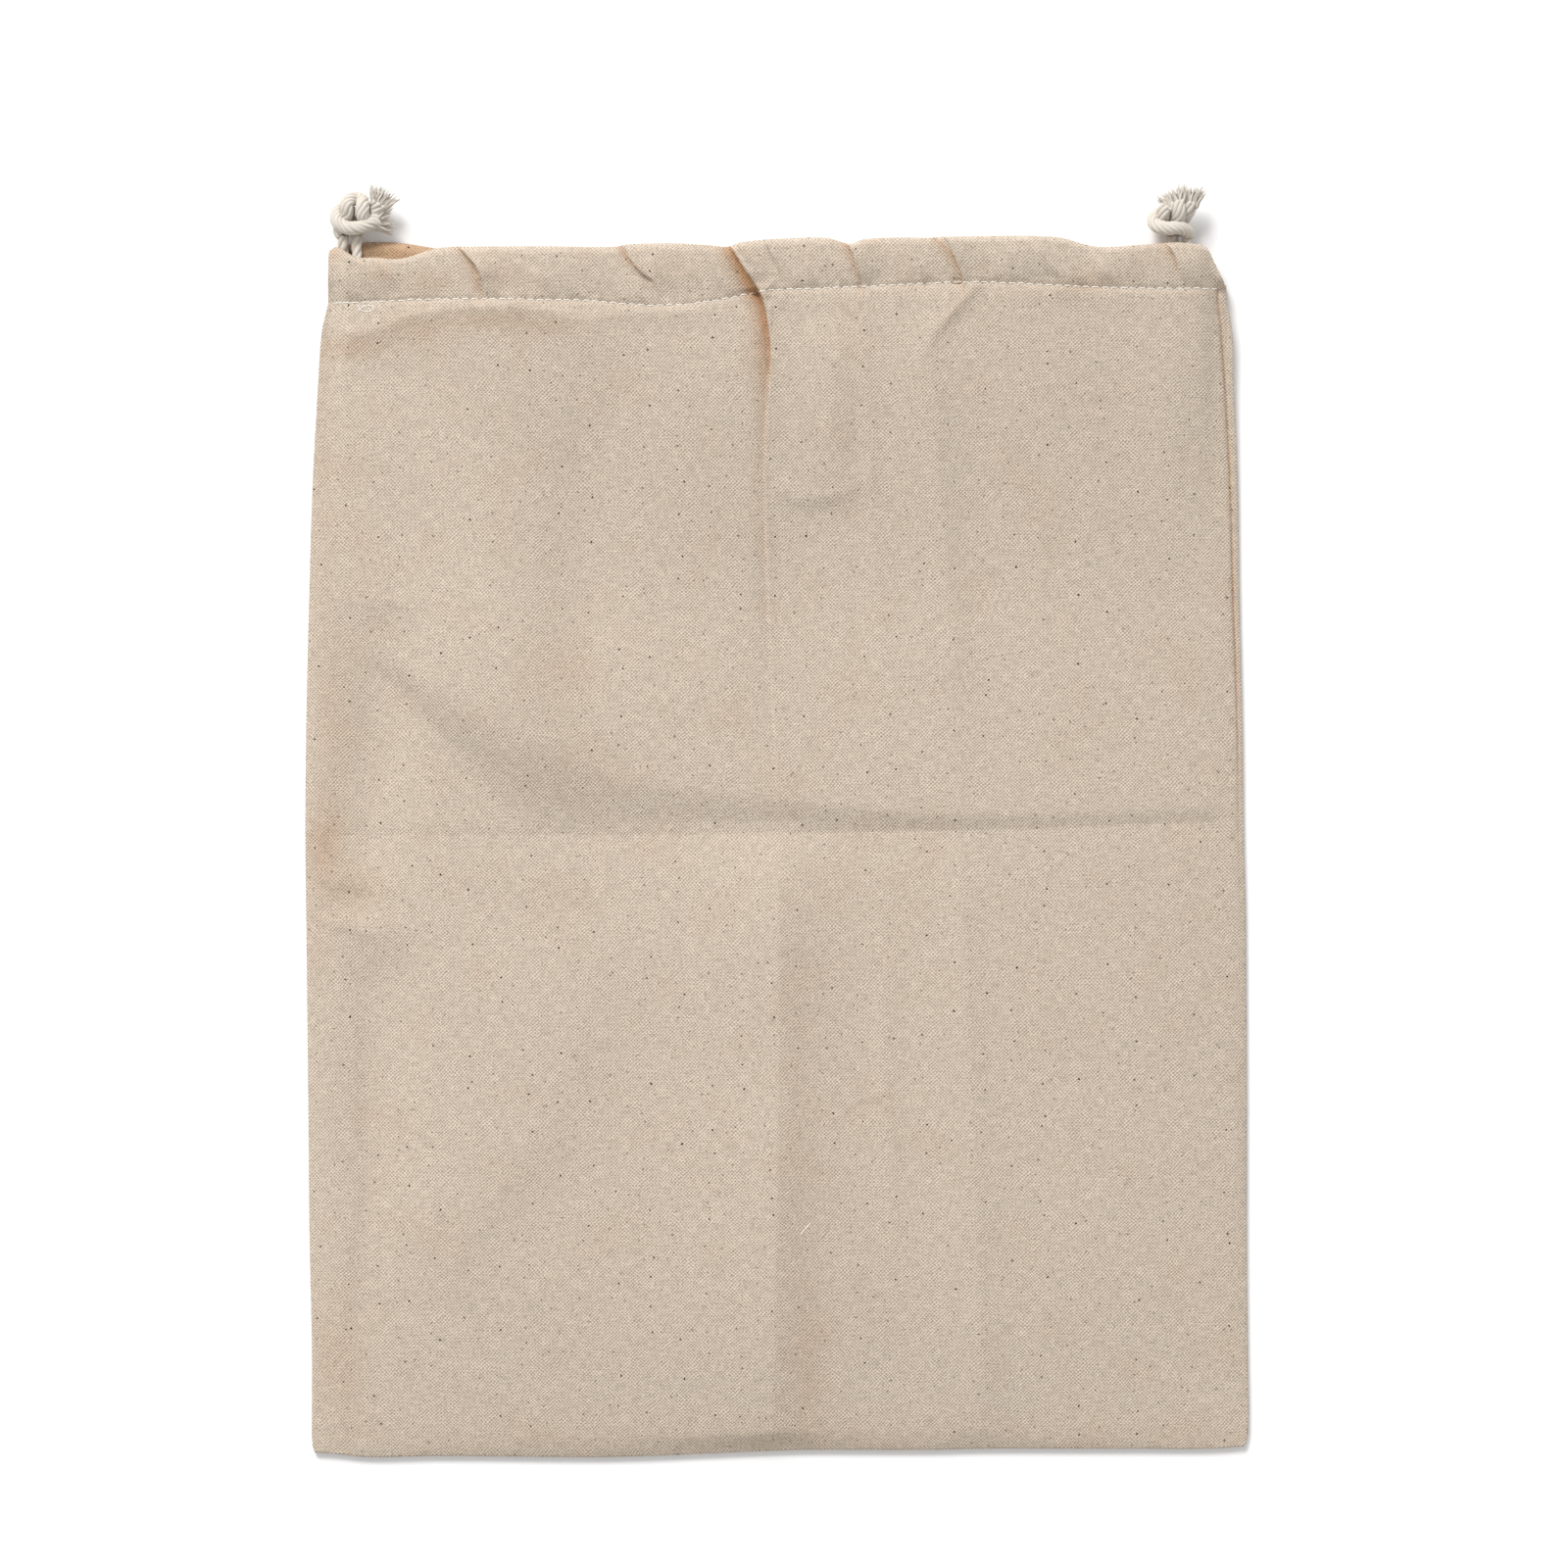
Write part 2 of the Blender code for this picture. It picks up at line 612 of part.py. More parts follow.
def add_cord(name, points, radius, material):
    curve = bpy.data.curves.new(name, "CURVE")
    curve.dimensions = "3D"
    curve.bevel_depth = radius
    curve.bevel_resolution = CORD_RING_STEPS
    curve.use_fill_caps = True
    spline = curve.splines.new("POLY")
    spline.points.add(len(points) - 1)
    for place, point in zip(spline.points, points):
        place.co = (*point, 1.0)
    curve.materials.append(material)
    cord = bpy.data.objects.new(name, curve)
    bpy.context.scene.collection.objects.link(cord)
    return cord


def make_drawstring(name, side, way, material):
    """One cord: from its knot through the front casing, round the far corner and back through the other."""
    left_end = HALF_WIDTH * CASING_LINES[0][AT_MOUTH]
    right_end = HALF_WIDTH * CASING_LINES[-1][AT_MOUTH]
    if side < 0:
        outer_neck = left_end + LEFT_OUTER_NECK
        far_turn = right_end - right_way_out() + WAY_OUT_MARGIN
    else:
        outer_neck = right_end - RIGHT_OUTER_NECK
        far_turn = left_end + LEFT_TURN + (mouth_height(HALF_WIDTH) - BACK_CORD_Z) / 2
    inner_neck = outer_neck - side * NECK_SPACING
    front_start = inner_neck - side * CORD_BEND_RADIUS
    back_start = outer_neck - side * CORD_BEND_RADIUS
    points = bend_out(inner_neck, way, side, True)[::-1]
    points += run_in_casing(front_start, far_turn, way, True)
    points += turn_back(far_turn, way, -side)
    points += run_in_casing(far_turn, back_start, way, False)
    points += bend_out(outer_neck, way, side, False)
    return add_cord(name, points, CORD_DIAMETER / 2, material)


def smooth_route(points, steps):
    """A smooth curve through hand-placed points."""
    route = []
    for place in range(len(points) - 1):
        before = points[max(0, place - 1)]
        start = points[place]
        end = points[place + 1]
        after = points[min(len(points) - 1, place + 2)]
        for number in range(steps):
            share = number / steps
            pull_start = (end - before) / 2
            pull_end = (after - start) / 2
            square = share * share
            cube = square * share
            route.append(start * (2 * cube - 3 * square + 1) + pull_start * (cube - 2 * square + share)
                         + end * (3 * square - 2 * cube) + pull_end * (cube - square))
    route.append(points[-1])
    return route


def make_knot(name, side, strands, material):
    """The overhand knot in both ends of a cord, fused into one solid."""
    if side < 0:
        outer_neck = HALF_WIDTH * CASING_LINES[0][AT_MOUTH] + LEFT_OUTER_NECK
    else:
        outer_neck = HALF_WIDTH * CASING_LINES[-1][AT_MOUTH] - RIGHT_OUTER_NECK
    neck_x = outer_neck - side * NECK_SPACING / 2
    base = Vector((neck_x, neck_y(side) + 2 * PIECE_GAP, KNOT_Z))
    vertices = []
    faces = []
    for strand in strands:
        points = [base + KNOT_CORD_DIAMETER * Vector(point) for point in strand]
        route = smooth_route(points, KNOT_STEPS)
        tube = add_cord(name + "_strand", route, KNOT_CORD_DIAMETER / 2, material)
        mesh = tube.to_mesh()
        start = len(vertices)
        vertices += [tuple(vertex.co) for vertex in mesh.vertices]
        faces += [tuple(start + index for index in face.vertices) for face in mesh.polygons]
        tube.to_mesh_clear()
        curve = tube.data
        bpy.data.objects.remove(tube)
        bpy.data.curves.remove(curve)
    knot = add_mesh(name, vertices, faces, material)
    fuse = knot.modifiers.new("fuse the strands", "REMESH")
    fuse.mode = "VOXEL"
    fuse.voxel_size = KNOT_VOXEL
    thin_out = knot.modifiers.new("fewer faces", "DECIMATE")
    thin_out.ratio = KNOT_KEPT_SHARE
    return knot


def main():
    for leftover in list(bpy.data.objects):
        bpy.data.objects.remove(leftover)
    cloth = fabric_material("natural_cotton_cloth", CLOTH_COLOR, CLOTH_ROUGHNESS)
    casing_cloth = fabric_material("casing_cotton_cloth", CLOTH_COLOR, CLOTH_ROUGHNESS)
    cord = fabric_material("cotton_cord", CORD_COLOR, CORD_ROUGHNESS)
    make_body(cloth)
    make_casing("front_casing", True, casing_cloth)
    make_casing("back_casing", False, casing_cloth)
    make_drawstring("left_drawstring", -1, UPPER_CORD, cord)
    make_drawstring("right_drawstring", 1, LOWER_CORD, cord)
    make_knot("left_knot", -1, LEFT_KNOT_STRANDS, cord)
    make_knot("right_knot", 1, RIGHT_KNOT_STRANDS, cord)


main()
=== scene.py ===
"""Looks of a drawstring bag of natural cotton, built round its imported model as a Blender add-on.

The bag lies flat with its mouth towards +Y. Sizes are in metres and +Z is up. Tables of folds are in
millimetres, because they were laid out on the cloth with a ruler.
"""

import math

import bpy
import numpy as np
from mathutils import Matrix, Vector


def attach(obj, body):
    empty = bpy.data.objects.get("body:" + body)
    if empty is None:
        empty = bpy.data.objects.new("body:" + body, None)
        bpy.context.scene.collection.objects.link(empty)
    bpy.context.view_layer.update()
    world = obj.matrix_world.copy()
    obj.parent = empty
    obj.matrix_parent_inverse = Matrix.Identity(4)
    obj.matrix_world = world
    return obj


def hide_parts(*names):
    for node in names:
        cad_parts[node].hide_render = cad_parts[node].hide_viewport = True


bl_info = {
    "name": "Cotton drawstring bag looks",
    "version": (1, 0, 0),
    "blender": (4, 5, 0),
    "location": "View3D > Sidebar > Bag",
    "description": "Dresses the packed drawstring bag in woven cotton, casings, stitches, cords and knots",
    "category": "Object",
}

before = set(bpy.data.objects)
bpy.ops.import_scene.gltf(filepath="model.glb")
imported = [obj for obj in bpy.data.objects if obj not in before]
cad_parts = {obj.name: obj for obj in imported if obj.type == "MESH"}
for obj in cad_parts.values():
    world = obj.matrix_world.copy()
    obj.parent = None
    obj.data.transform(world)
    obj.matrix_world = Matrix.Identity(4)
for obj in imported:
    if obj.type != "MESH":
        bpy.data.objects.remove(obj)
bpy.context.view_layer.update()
MM = 0.001

# Sizes shared with the bag's solids
BAG_WIDTH = 0.3560
BAG_HEIGHT = 0.4634
CLOTH = 0.0010
SEAM_EDGE = 0.0024
BODY_LOFT = 0.0060
SHOULDER = 0.0300
SOFT_SHOULDER = 0.0950
STITCHED_SHOULDER = 0.0220
DROP_SEEN = {2: 0.055, 3: 0.030}
EDGE_RISE = 0.0012
MOUTH_RUN = 0.1250
CASING_DEPTH = 0.0223
MOUTH_GAP = 0.0046
CORNER_GAP = 0.0006
STITCH_DIP = -0.0004
CORNER_RUN = 0.0080
CORNER_DROP = 0.0030
CORD_DIAMETER = 0.0042
CORD_CLEARANCE = 0.0003
KNOT_CORD_DIAMETER = 0.0054
CORD_BEND_RADIUS = 0.0050
NECK_LENGTH = 0.0012
HALF_WIDTH = BAG_WIDTH / 2
BOTTOM_Y = -0.502 * BAG_HEIGHT
TOP_Y = BOTTOM_Y + BAG_HEIGHT
STITCH_Y = TOP_Y - CASING_DEPTH
TUNNEL_HEIGHT = CORD_DIAMETER + 2 * CORD_CLEARANCE + 2 * CLOTH
STITCHED_HALF = 1.1 * CLOTH
BACK_CORD_Z = TUNNEL_HEIGHT / 2
KNOT_Z = 1.25 * KNOT_CORD_DIAMETER
LEFT_OUTER_NECK = 0.0052
LEFT_TURN = 0.0070
RIGHT_OUTER_NECK = 0.0115
NECK_SPACING = CORD_DIAMETER + 3 * CORD_CLEARANCE
WAY_OUT_MARGIN = 0.0010
LOWER_CORD = 0.37
UPPER_CORD = 0.64

# Lines that run up the cloth. Columns: height as a share of BAG_HEIGHT, then shares of HALF_WIDTH for the
# left edge, middle crease, second crease, groove and right edge.
UP_LINES = np.array((
    (0.000, -0.985, -0.010, 0.440, 0.972, 0.982),
    (0.010, -0.991, -0.010, 0.440, 0.988, 0.998),
    (0.025, -0.992, -0.009, 0.440, 0.993, 1.004),
    (0.090, -0.992, -0.007, 0.434, 0.992, 1.002),
    (0.180, -0.997, -0.001, 0.424, 0.991, 1.000),
    (0.300, -1.000, 0.004, 0.413, 0.991, 1.000),
    (0.440, -1.004, 0.000, 0.402, 0.988, 0.998),
    (0.508, -1.006, 0.000, 0.391, 0.985, 0.994),
    (0.600, -1.004, 0.000, 0.386, 0.982, 0.991),
    (0.700, -0.998, -0.016, 0.370, 0.973, 0.985),
    (0.800, -0.990, -0.027, 0.350, 0.966, 0.981),
    (0.880, -0.978, -0.024, 0.332, 0.954, 0.972),
    (0.920, -0.970, -0.014, 0.326, 0.946, 0.969),
    (0.944, -0.956, -0.022, 0.324, 0.938, 0.957),
))
LEFT_EDGE, MIDDLE_CREASE, SECOND_CREASE, GROOVE, RIGHT_EDGE = range(1, 6)

# Bottom fold, cross crease and stitch line. Columns: distance from the middle as a share of HALF_WIDTH,
# rise of the bottom fold, height of the cross crease, and rise of the stitch line.
ACROSS_LINES = np.array((
    (-1.00, 0.003, 0.509, -0.18),
    (-0.95, 0.002, 0.509, -0.18),
    (-0.87, -0.001, 0.509, -0.17),
    (-0.72, 0.000, 0.509, -0.13),
    (-0.40, -0.001, 0.510, -0.16),
    (-0.27, 0.000, 0.510, -0.24),
    (-0.15, 0.002, 0.510, -0.18),
    (-0.02, 0.004, 0.510, 0.01),
    (0.06, 0.005, 0.511, 0.04),
    (0.20, 0.005, 0.512, 0.08),
    (0.32, 0.005, 0.513, 0.13),
    (0.45, 0.006, 0.514, 0.15),
    (0.62, 0.006, 0.515, 0.09),
    (0.76, 0.006, 0.518, 0.06),
    (0.92, 0.006, 0.520, 0.06),
    (1.00, 0.008, 0.520, 0.06),
))
BOTTOM_RISE, CROSS_CREASE, STITCH_RISE = range(1, 4)

# Lines up both casings. Columns: place at the mouth and at the stitch line as shares of HALF_WIDTH, then
# drop of the front's and of the back's edge at the mouth as shares of CASING_DEPTH.
CASING_LINES = np.array((
    (-0.953, -0.956, 0.23, 0.24),
    (-0.935, -0.945, 0.17, 0.18),
    (-0.900, -0.925, 0.34, 0.10),
    (-0.850, -0.880, 0.36, 0.08),
    (-0.800, -0.820, 0.38, 0.10),
    (-0.725, -0.740, 0.21, 0.19),
    (-0.682, -0.640, 0.18, 0.23),
    (-0.660, -0.605, 0.18, 0.25),
    (-0.500, -0.450, 0.18, 0.25),
    (-0.345, -0.290, 0.19, 0.25),
    (-0.318, -0.250, 0.15, 0.25),
    (-0.220, -0.150, 0.13, 0.25),
    (-0.150, -0.075, 0.16, 0.25),
    (-0.104, -0.022, 0.19, 0.20),
    (-0.080, 0.010, 0.12, 0.18),
    (-0.010, 0.060, 0.06, 0.16),
    (0.105, 0.125, 0.04, 0.14),
    (0.155, 0.180, 0.14, 0.12),
    (0.185, 0.215, 0.06, 0.10),
    (0.290, 0.324, 0.03, 0.08),
    (0.320, 0.375, 0.04, 0.08),
    (0.350, 0.410, 0.02, 0.08),
    (0.590, 0.605, 0.02, 0.10),
    (0.678, 0.700, 0.18, 0.20),
    (0.780, 0.800, 0.14, 0.18),
    (0.845, 0.870, 0.10, 0.16),
    (0.880, 0.910, 0.12, 0.20),
    (0.915, 0.938, 0.20, 0.28),
    (0.937, 0.957, 0.56, 0.48),
))
FRONT_DROP = 2
BACK_DROP = 3
CASING_LEFT = HALF_WIDTH * CASING_LINES[0, 0]
CASING_RIGHT = HALF_WIDTH * CASING_LINES[-1, 0]

# Share of the way from the stitch line to the fold, and share of the tunnel's half height
CASING_SECTION = np.array((
    (0.00, 0.00),
    (0.12, 0.17),
    (0.28, 0.46),
    (0.45, 0.70),
    (0.65, 0.82),
    (0.82, 0.78),
))
CASING_SHOULDER = 0.82

# Creases, hills and hollows that run up the cloth. Each is (shape, width on the left, width on the right,
# points), with widths in mm and points as (y, x, height), all in mm. A ridge is a line of its own height,
# and a pleat is a valley on its left that turns up sharply on its right.
UP_FOLDS = (
    # the main fold, from the mouth down the middle
    ("pleat", 6.0, 10.0, ((226.0, -18.8, 0.5), (224.6, -17.9, 0.8), (216.8, -12.7, 1.0), (206.7, -6.3, 1.3),
                          (195.6, -3.7, 1.0), (184.0, -2.6, 0.85), (171.4, -3.5, 0.7), (155.0, -4.3, 0.5),
                          (141.6, -4.8, 0.4), (118.0, -4.3, 0.35), (97.0, -3.7, 0.35), (60.0, -1.9, 0.3),
                          (25.0, -0.5, 0.15), (3.7, 0.0, 0.0))),
    # its lower half, a pressed ridge
    ("ridge", 44.0, 17.0, ((8.0, 0.0, 0.0), (0.0, 0.1, 1.0), (-18.0, 0.4, 3.0), (-40.0, 0.5, 4.1),
                           (-89.0, 0.7, 3.8), (-127.0, 0.0, 4.3), (-190.0, -1.2, 3.7), (-232.0, -1.9, 2.0))),
    # the second pressed ridge
    ("ridge", 22.0, 8.0, ((207.0, 57.7, 0.2), (190.0, 58.3, 0.9), (172.0, 58.9, 1.25), (127.0, 62.2, 1.3),
                          (75.0, 67.0, 1.2), (50.0, 68.5, 0.6), (4.0, 69.7, 0.4), (-20.0, 70.0, 0.9),
                          (-89.0, 73.4, 1.2), (-160.0, 76.0, 1.1), (-205.0, 78.2, 0.8),
                          (-234.0, 79.5, 0.4))),
    # a faint third one
    ("ridge", 3.0, 3.5, ((208.0, 32.4, 0.4), (190.0, 33.0, 0.5), (150.0, 35.0, 0.45), (97.0, 38.0, 0.3),
                         (4.0, 41.7, 0.1), (-60.0, 40.5, 0.45), (-93.0, 40.5, 0.6), (-140.0, 43.6, 0.5),
                         (-180.0, 44.0, 0.0))),
    # folds of the casing
    ("pleat", 4.0, 5.0, ((227.0, -122.5, 0.5), (217.5, -114.0, 0.9), (211.2, -112.1, 0.6), (204.0, -111.0, 0.15),
                         (198.0, -110.0, 0.0))),
    ("pleat", 3.5, 4.5, ((227.0, -60.0, 0.6), (223.6, -57.0, 0.7), (220.1, -55.5, 0.8), (215.3, -51.8, 0.7),
                         (212.0, -47.0, 0.3), (206.0, -44.0, 0.0))),
    ("pleat", 3.0, 5.0, ((230.0, 23.6, 0.6), (222.8, 27.9, 0.8), (214.6, 30.2, 0.7), (208.6, 32.4, 0.15),
                         (200.0, 33.0, 0.15), (190.0, 34.0, 0.0))),
    ("pleat", 3.5, 5.0, ((231.0, 57.0, 0.5), (228.7, 62.5, 0.9), (222.4, 65.9, 1.0), (216.0, 68.2, 0.7),
                         (209.0, 71.0, 0.1), (203.0, 72.0, 0.0))),
    ("ridge", 7.0, 5.0, ((227.0, 96.0, 0.3), (222.0, 100.6, 0.6), (211.6, 108.8, 0.6), (203.0, 110.0, 0.0))),
    ("pleat", 3.0, 5.0, ((229.0, 145.0, 0.3), (221.6, 150.0, 0.6), (214.0, 152.0, 0.4), (205.0, 153.0, 0.0))),
    ("pleat", 1.6, 2.6, ((229.0, -17.0, 0.4), (222.8, -13.4, 0.3), (218.0, -11.5, 0.0))),
    ("pleat", 2.0, 3.0, ((229.0, -5.6, 0.4), (223.0, -2.8, 0.5), (219.4, -1.1, 0.3), (215.0, 0.0, 0.0))),
    ("ridge", 3.0, 2.0, ((214.0, -1.0, 0.0), (211.6, -1.9, 0.5), (207.0, -5.6, 0.5), (203.0, -7.0, 0.0))),
    # short folds that the stitches gather, left to right
    ("ridge", 4.0, 2.5, ((221.0, -150.0, 0.0), (214.0, -146.0, 0.5), (207.0, -145.0, 0.3), (198.0, -143.0, 0.0))),
    ("ridge", 3.0, 3.0, ((218.0, -92.0, 0.0), (211.0, -88.0, 0.45), (204.0, -86.0, 0.35), (190.0, -76.0, 0.3),
                         (180.0, -70.0, 0.0))),
    ("ridge", 3.0, 3.0, ((220.0, -34.0, 0.0), (213.0, -31.0, 0.4), (206.0, -28.0, 0.3), (196.0, -26.0, 0.0))),
    ("ridge", 4.0, 3.0, ((223.0, 120.0, 0.0), (216.0, 124.0, 0.4), (209.0, 127.0, 0.3), (200.0, 128.0, 0.0))),
    # the slanting fold below the stitch line
    ("ridge", 5.0, 2.5, ((213.0, 77.0, 0.2), (210.8, 75.6, 0.6), (199.7, 65.9, 0.9), (189.6, 58.1, 0.5),
                         (180.0, 54.0, 0.0))),
    # the raised tongue right of the middle crease
    ("hill", 18.0, 9.0, ((200.0, 20.0, 0.0), (188.0, 20.0, 1.0), (160.0, 20.0, 1.6), (142.0, 20.0, 1.3),
                         (134.0, 20.0, 0.6), (126.0, 20.0, 0.0))),
    # the hill and hollow of the upper left, and the hill beside the middle crease
    ("hill", 32.0, 24.0, ((175.0, -142.0, 0.0), (152.7, -131.5, 0.9), (123.3, -113.2, 1.9), (89.4, -102.0, 2.2),
                          (59.2, -94.0, 1.3), (42.8, -90.0, 0.6), (28.0, -86.0, 0.0))),
    ("hill", 17.0, 15.0, ((190.0, -66.0, 0.0), (165.0, -68.0, -0.7), (126.7, -71.9, -1.1), (93.0, -71.9, -1.2),
                          (60.0, -74.9, -0.6), (40.0, -76.0, 0.0))),
    ("hill", 40.0, 7.0, ((205.0, -10.4, 0.0), (185.0, -10.4, 0.9), (160.0, -10.4, 1.3), (120.0, -10.4, 1.2),
                         (74.5, -10.4, 0.7), (40.0, -10.0, 0.0))),
    # the hollow beside the left edge
    ("hill", 13.0, 14.0, ((92.0, -150.0, 0.0), (75.0, -150.0, -1.6), (40.0, -151.0, -2.6), (15.0, -153.0, -2.2),
                          (-15.0, -155.0, -1.4), (-30.0, -155.0, 0.0))),
    # the seam allowance that shows through beside the left edge
    ("ridge", 8.0, 2.5, ((-55.0, -160.5, 0.0), (-75.0, -160.5, 0.45), (-138.0, -160.5, 0.45),
                         (-170.0, -164.0, 0.4), (-220.0, -165.0, 0.3))),
    # the slanting slope of the lower left
    ("hill", 45.0, 21.0, ((-25.0, -66.0, 0.0), (-50.0, -76.0, 0.9), (-71.0, -80.0, 1.2), (-112.0, -98.0, 1.3),
                          (-145.0, -120.0, 1.1), (-178.0, -140.0, 0.0))),
    # the hollow beside the left edge, below the cross crease
    ("hill", 10.0, 16.0, ((-35.0, -152.0, 0.0), (-55.0, -153.0, -1.4), (-100.0, -155.0, -1.6),
                          (-150.0, -155.0, -1.2), (-190.0, -156.0, 0.0))),
    # small folds near the bottom
    ("ridge", 10.0, 9.0, ((-170.0, 77.0, 0.0), (-186.0, 77.0, 0.4), (-208.0, 80.0, 0.4), (-222.0, 80.0, 0.0))),
    ("ridge", 3.0, 4.0, ((-148.0, -126.0, 0.0), (-160.0, -122.0, 0.5), (-172.0, -118.0, 0.5), (-182.0, -112.0, 0.0))),
    ("ridge", 3.0, 3.0, ((-150.0, -104.0, 0.0), (-162.0, -100.0, 0.5), (-176.0, -92.0, 0.5), (-188.0, -90.0, 0.0))),
    ("ridge", 4.0, 5.0, ((-150.0, 26.0, 0.0), (-165.0, 28.0, 0.5), (-185.0, 33.0, 0.5), (-200.0, 35.0, 0.0))),
)

# The same for folds that run across, with points as (x, y, height). Widths are those below and above the
# line.
ACROSS_FOLDS = (
    # the pressed cross crease
    ("ridge", 9.0, 3.0, ((-179.0, 2.6, -0.3), (-130.0, 2.8, -0.35), (-90.0, 3.0, -0.55), (0.0, 3.7, -0.8),
                         (50.0, 4.4, -0.75), (107.0, 5.6, -0.5), (161.0, 8.2, -0.6), (178.0, 9.0, -0.5))),
    # the roll of cloth below the stitch line
    ("ridge", 6.5, 5.0, ((-176.0, 194.0, 0.9), (-168.0, 193.7, 1.3), (-155.0, 193.5, 1.4), (-138.6, 199.0, 1.3),
                         (-113.6, 202.5, 1.4), (-87.0, 200.8, 1.3), (-75.0, 198.0, 1.0), (-60.0, 199.5, 0.9),
                         (-35.0, 200.5, 0.8), (-12.0, 200.0, 0.2), (0.0, 203.0, 0.3), (60.0, 206.0, 0.4),
                         (120.0, 207.0, 0.45), (165.0, 206.0, 0.3))),
    # the lower end of the raised tongue
    ("ridge", 5.0, 7.0, ((-3.5, 134.0, 0.0), (0.0, 133.0, 0.7), (6.0, 131.0, 1.2), (15.0, 130.5, 1.3),
                         (27.0, 133.0, 1.0), (34.0, 138.0, 0.4), (40.0, 142.0, 0.0))),
    # the folds beside the left edge
    ("ridge", 4.0, 14.0, ((-179.0, -12.0, 0.9), (-165.0, -15.0, 1.2), (-150.0, -17.0, 0.9), (-136.0, -18.0, 0.0))),
    ("ridge", 3.0, 3.0, ((-179.0, -29.0, 0.7), (-165.0, -31.0, 0.8), (-152.0, -34.0, 0.3), (-144.0, -35.0, 0.0))),
)

# The slope above the cross crease, as (x, y of its middle, rise, half of its run), in mm. Above it the
# cloth falls away again slowly.
SLOPE = ((-160.0, 72.0, 0.0, 3.0), (-143.0, 61.5, 1.8, 6.0), (-123.0, 44.0, 3.8, 12.0), (-96.0, 23.5, 5.0, 18.0),
         (-63.6, 16.5, 3.3, 12.0), (-38.9, 14.0, 2.4, 9.0), (-1.7, 12.0, 1.8, 7.0), (30.4, 9.5, 1.4, 5.0),
         (80.0, 8.0, 0.8, 3.5), (159.0, 10.5, 0.4, 3.5), (178.0, 12.0, 0.3, 3.5))
SLOPE_FADE = 55.0

# Painted shade in the folds, where light bounces between the walls of a fold: the cloth's colour is painted warm
# and deep. Each is (width on the left, width on the right, points), with points as (y, x, depth of the tint).
FOLD_SHADE_LINES = (
    (4.2, 0.35, ((228.0, -19.5, 0.35), (216.8, -12.7, 0.55), (206.7, -6.3, 0.9), (195.6, -3.7, 1.0),
                 (184.0, -2.6, 0.7), (171.4, -3.5, 0.35), (155.0, -4.3, 0.15), (125.0, -4.4, 0.08),
                 (80.0, -3.0, 0.02), (60.0, -2.0, 0.0))),
    (2.5, 0.4, ((228.0, -123.0, 0.15), (217.5, -114.0, 0.25), (211.2, -112.1, 0.2), (200.0, -110.0, 0.0))),
    (2.2, 0.4, ((228.0, -60.0, 0.25), (220.1, -55.5, 0.25), (213.0, -48.0, 0.1), (206.0, -44.0, 0.0))),
    (2.0, 0.4, ((231.0, 23.0, 0.25), (222.8, 27.9, 0.2), (208.6, 32.4, 0.1), (195.0, 33.0, 0.0))),
    (2.2, 0.4, ((231.0, 57.0, 0.2), (222.4, 65.9, 0.25), (209.0, 71.0, 0.1), (200.0, 72.0, 0.0))),
    (2.4, 0.4, ((229.0, 145.0, 0.2), (221.6, 150.0, 0.16), (212.0, 152.0, 0.0))),
    (1.6, 1.6, ((213.0, 77.0, 0.05), (199.7, 66.0, 0.12), (186.0, 57.0, 0.0))),
)

# Patches of painted shade, warm and deep, where the cloth lies in hollows and folds or slopes away from the light:
# beside the left edge, along the roll under the stitch line, on the casing and along the bottom. Each is (x, y, reach
# across, reach up, depth of the tint), in mm
SHADE_PATCHES = (
    (-172.0, 0.0, 6.0, 16.0, 0.30),
    (-162.0, -16.0, 12.0, 6.0, 0.22),
    (-168.0, 48.0, 7.0, 32.0, 0.12),
    (-166.0, -195.0, 9.0, 24.0, 0.14),
    (-160.0, 188.0, 14.0, 4.5, 0.28),
    (-138.0, 194.0, 10.0, 4.0, 0.20),
    (-112.0, 197.5, 20.0, 3.5, 0.22),
    (-86.0, 195.0, 13.0, 4.0, 0.18),
    (-169.0, 224.0, 4.0, 4.0, 0.35),
    (-150.0, 216.0, 5.0, 4.0, 0.22),
    (-130.0, 211.0, 7.0, 4.0, 0.16),
    (-105.0, 214.0, 8.0, 6.0, 0.14),
    (-40.0, 216.0, 8.0, 4.0, 0.12),
    (48.0, 214.0, 7.0, 6.0, 0.10),
    (118.0, 212.0, 12.0, 4.0, 0.14),
    (12.0, -200.0, 7.0, 30.0, 0.16),
    (8.0, -120.0, 6.0, 60.0, 0.08),
    (-172.0, 120.0, 5.0, 60.0, 0.06),
    (-83.0, 62.0, 12.0, 22.0, 0.07),
    (-90.0, 24.0, 28.0, 10.0, 0.06),
    (0.0, -226.0, 170.0, 9.0, 0.07),
)

# Strands of both knots, in mm from the middle of the neck: across, out from the mouth and up
LEFT_KNOT_STRANDS = (
    ((-2.6, 0.0, 0.0), (-4.0, 2.1, -1.0), (-2.8, 4.7, -0.8), (-0.9, 8.0, 2.6), (-1.2, 10.8, 3.8),
     (0.2, 13.2, 1.8), (2.6, 13.8, -1.0), (4.7, 12.9, 1.2), (5.0, 10.2, 4.0), (4.9, 7.2, 4.0), (7.0, 5.8, 0.8),
     (9.0, 7.8, 0.2), (10.4, 10.6, 1.0), (11.2, 12.0, 1.2)),
    ((2.6, 0.0, 0.0), (2.1, 2.5, -2.0), (1.3, 6.6, -2.8), (-1.6, 10.3, -2.2), (-4.4, 8.8, 0.2),
     (-4.6, 5.1, 2.8), (-1.6, 2.7, 4.0), (2.8, 2.3, 4.4), (6.9, 3.6, 3.6), (9.4, 5.0, 1.8), (10.8, 5.3, 1.2)),
)
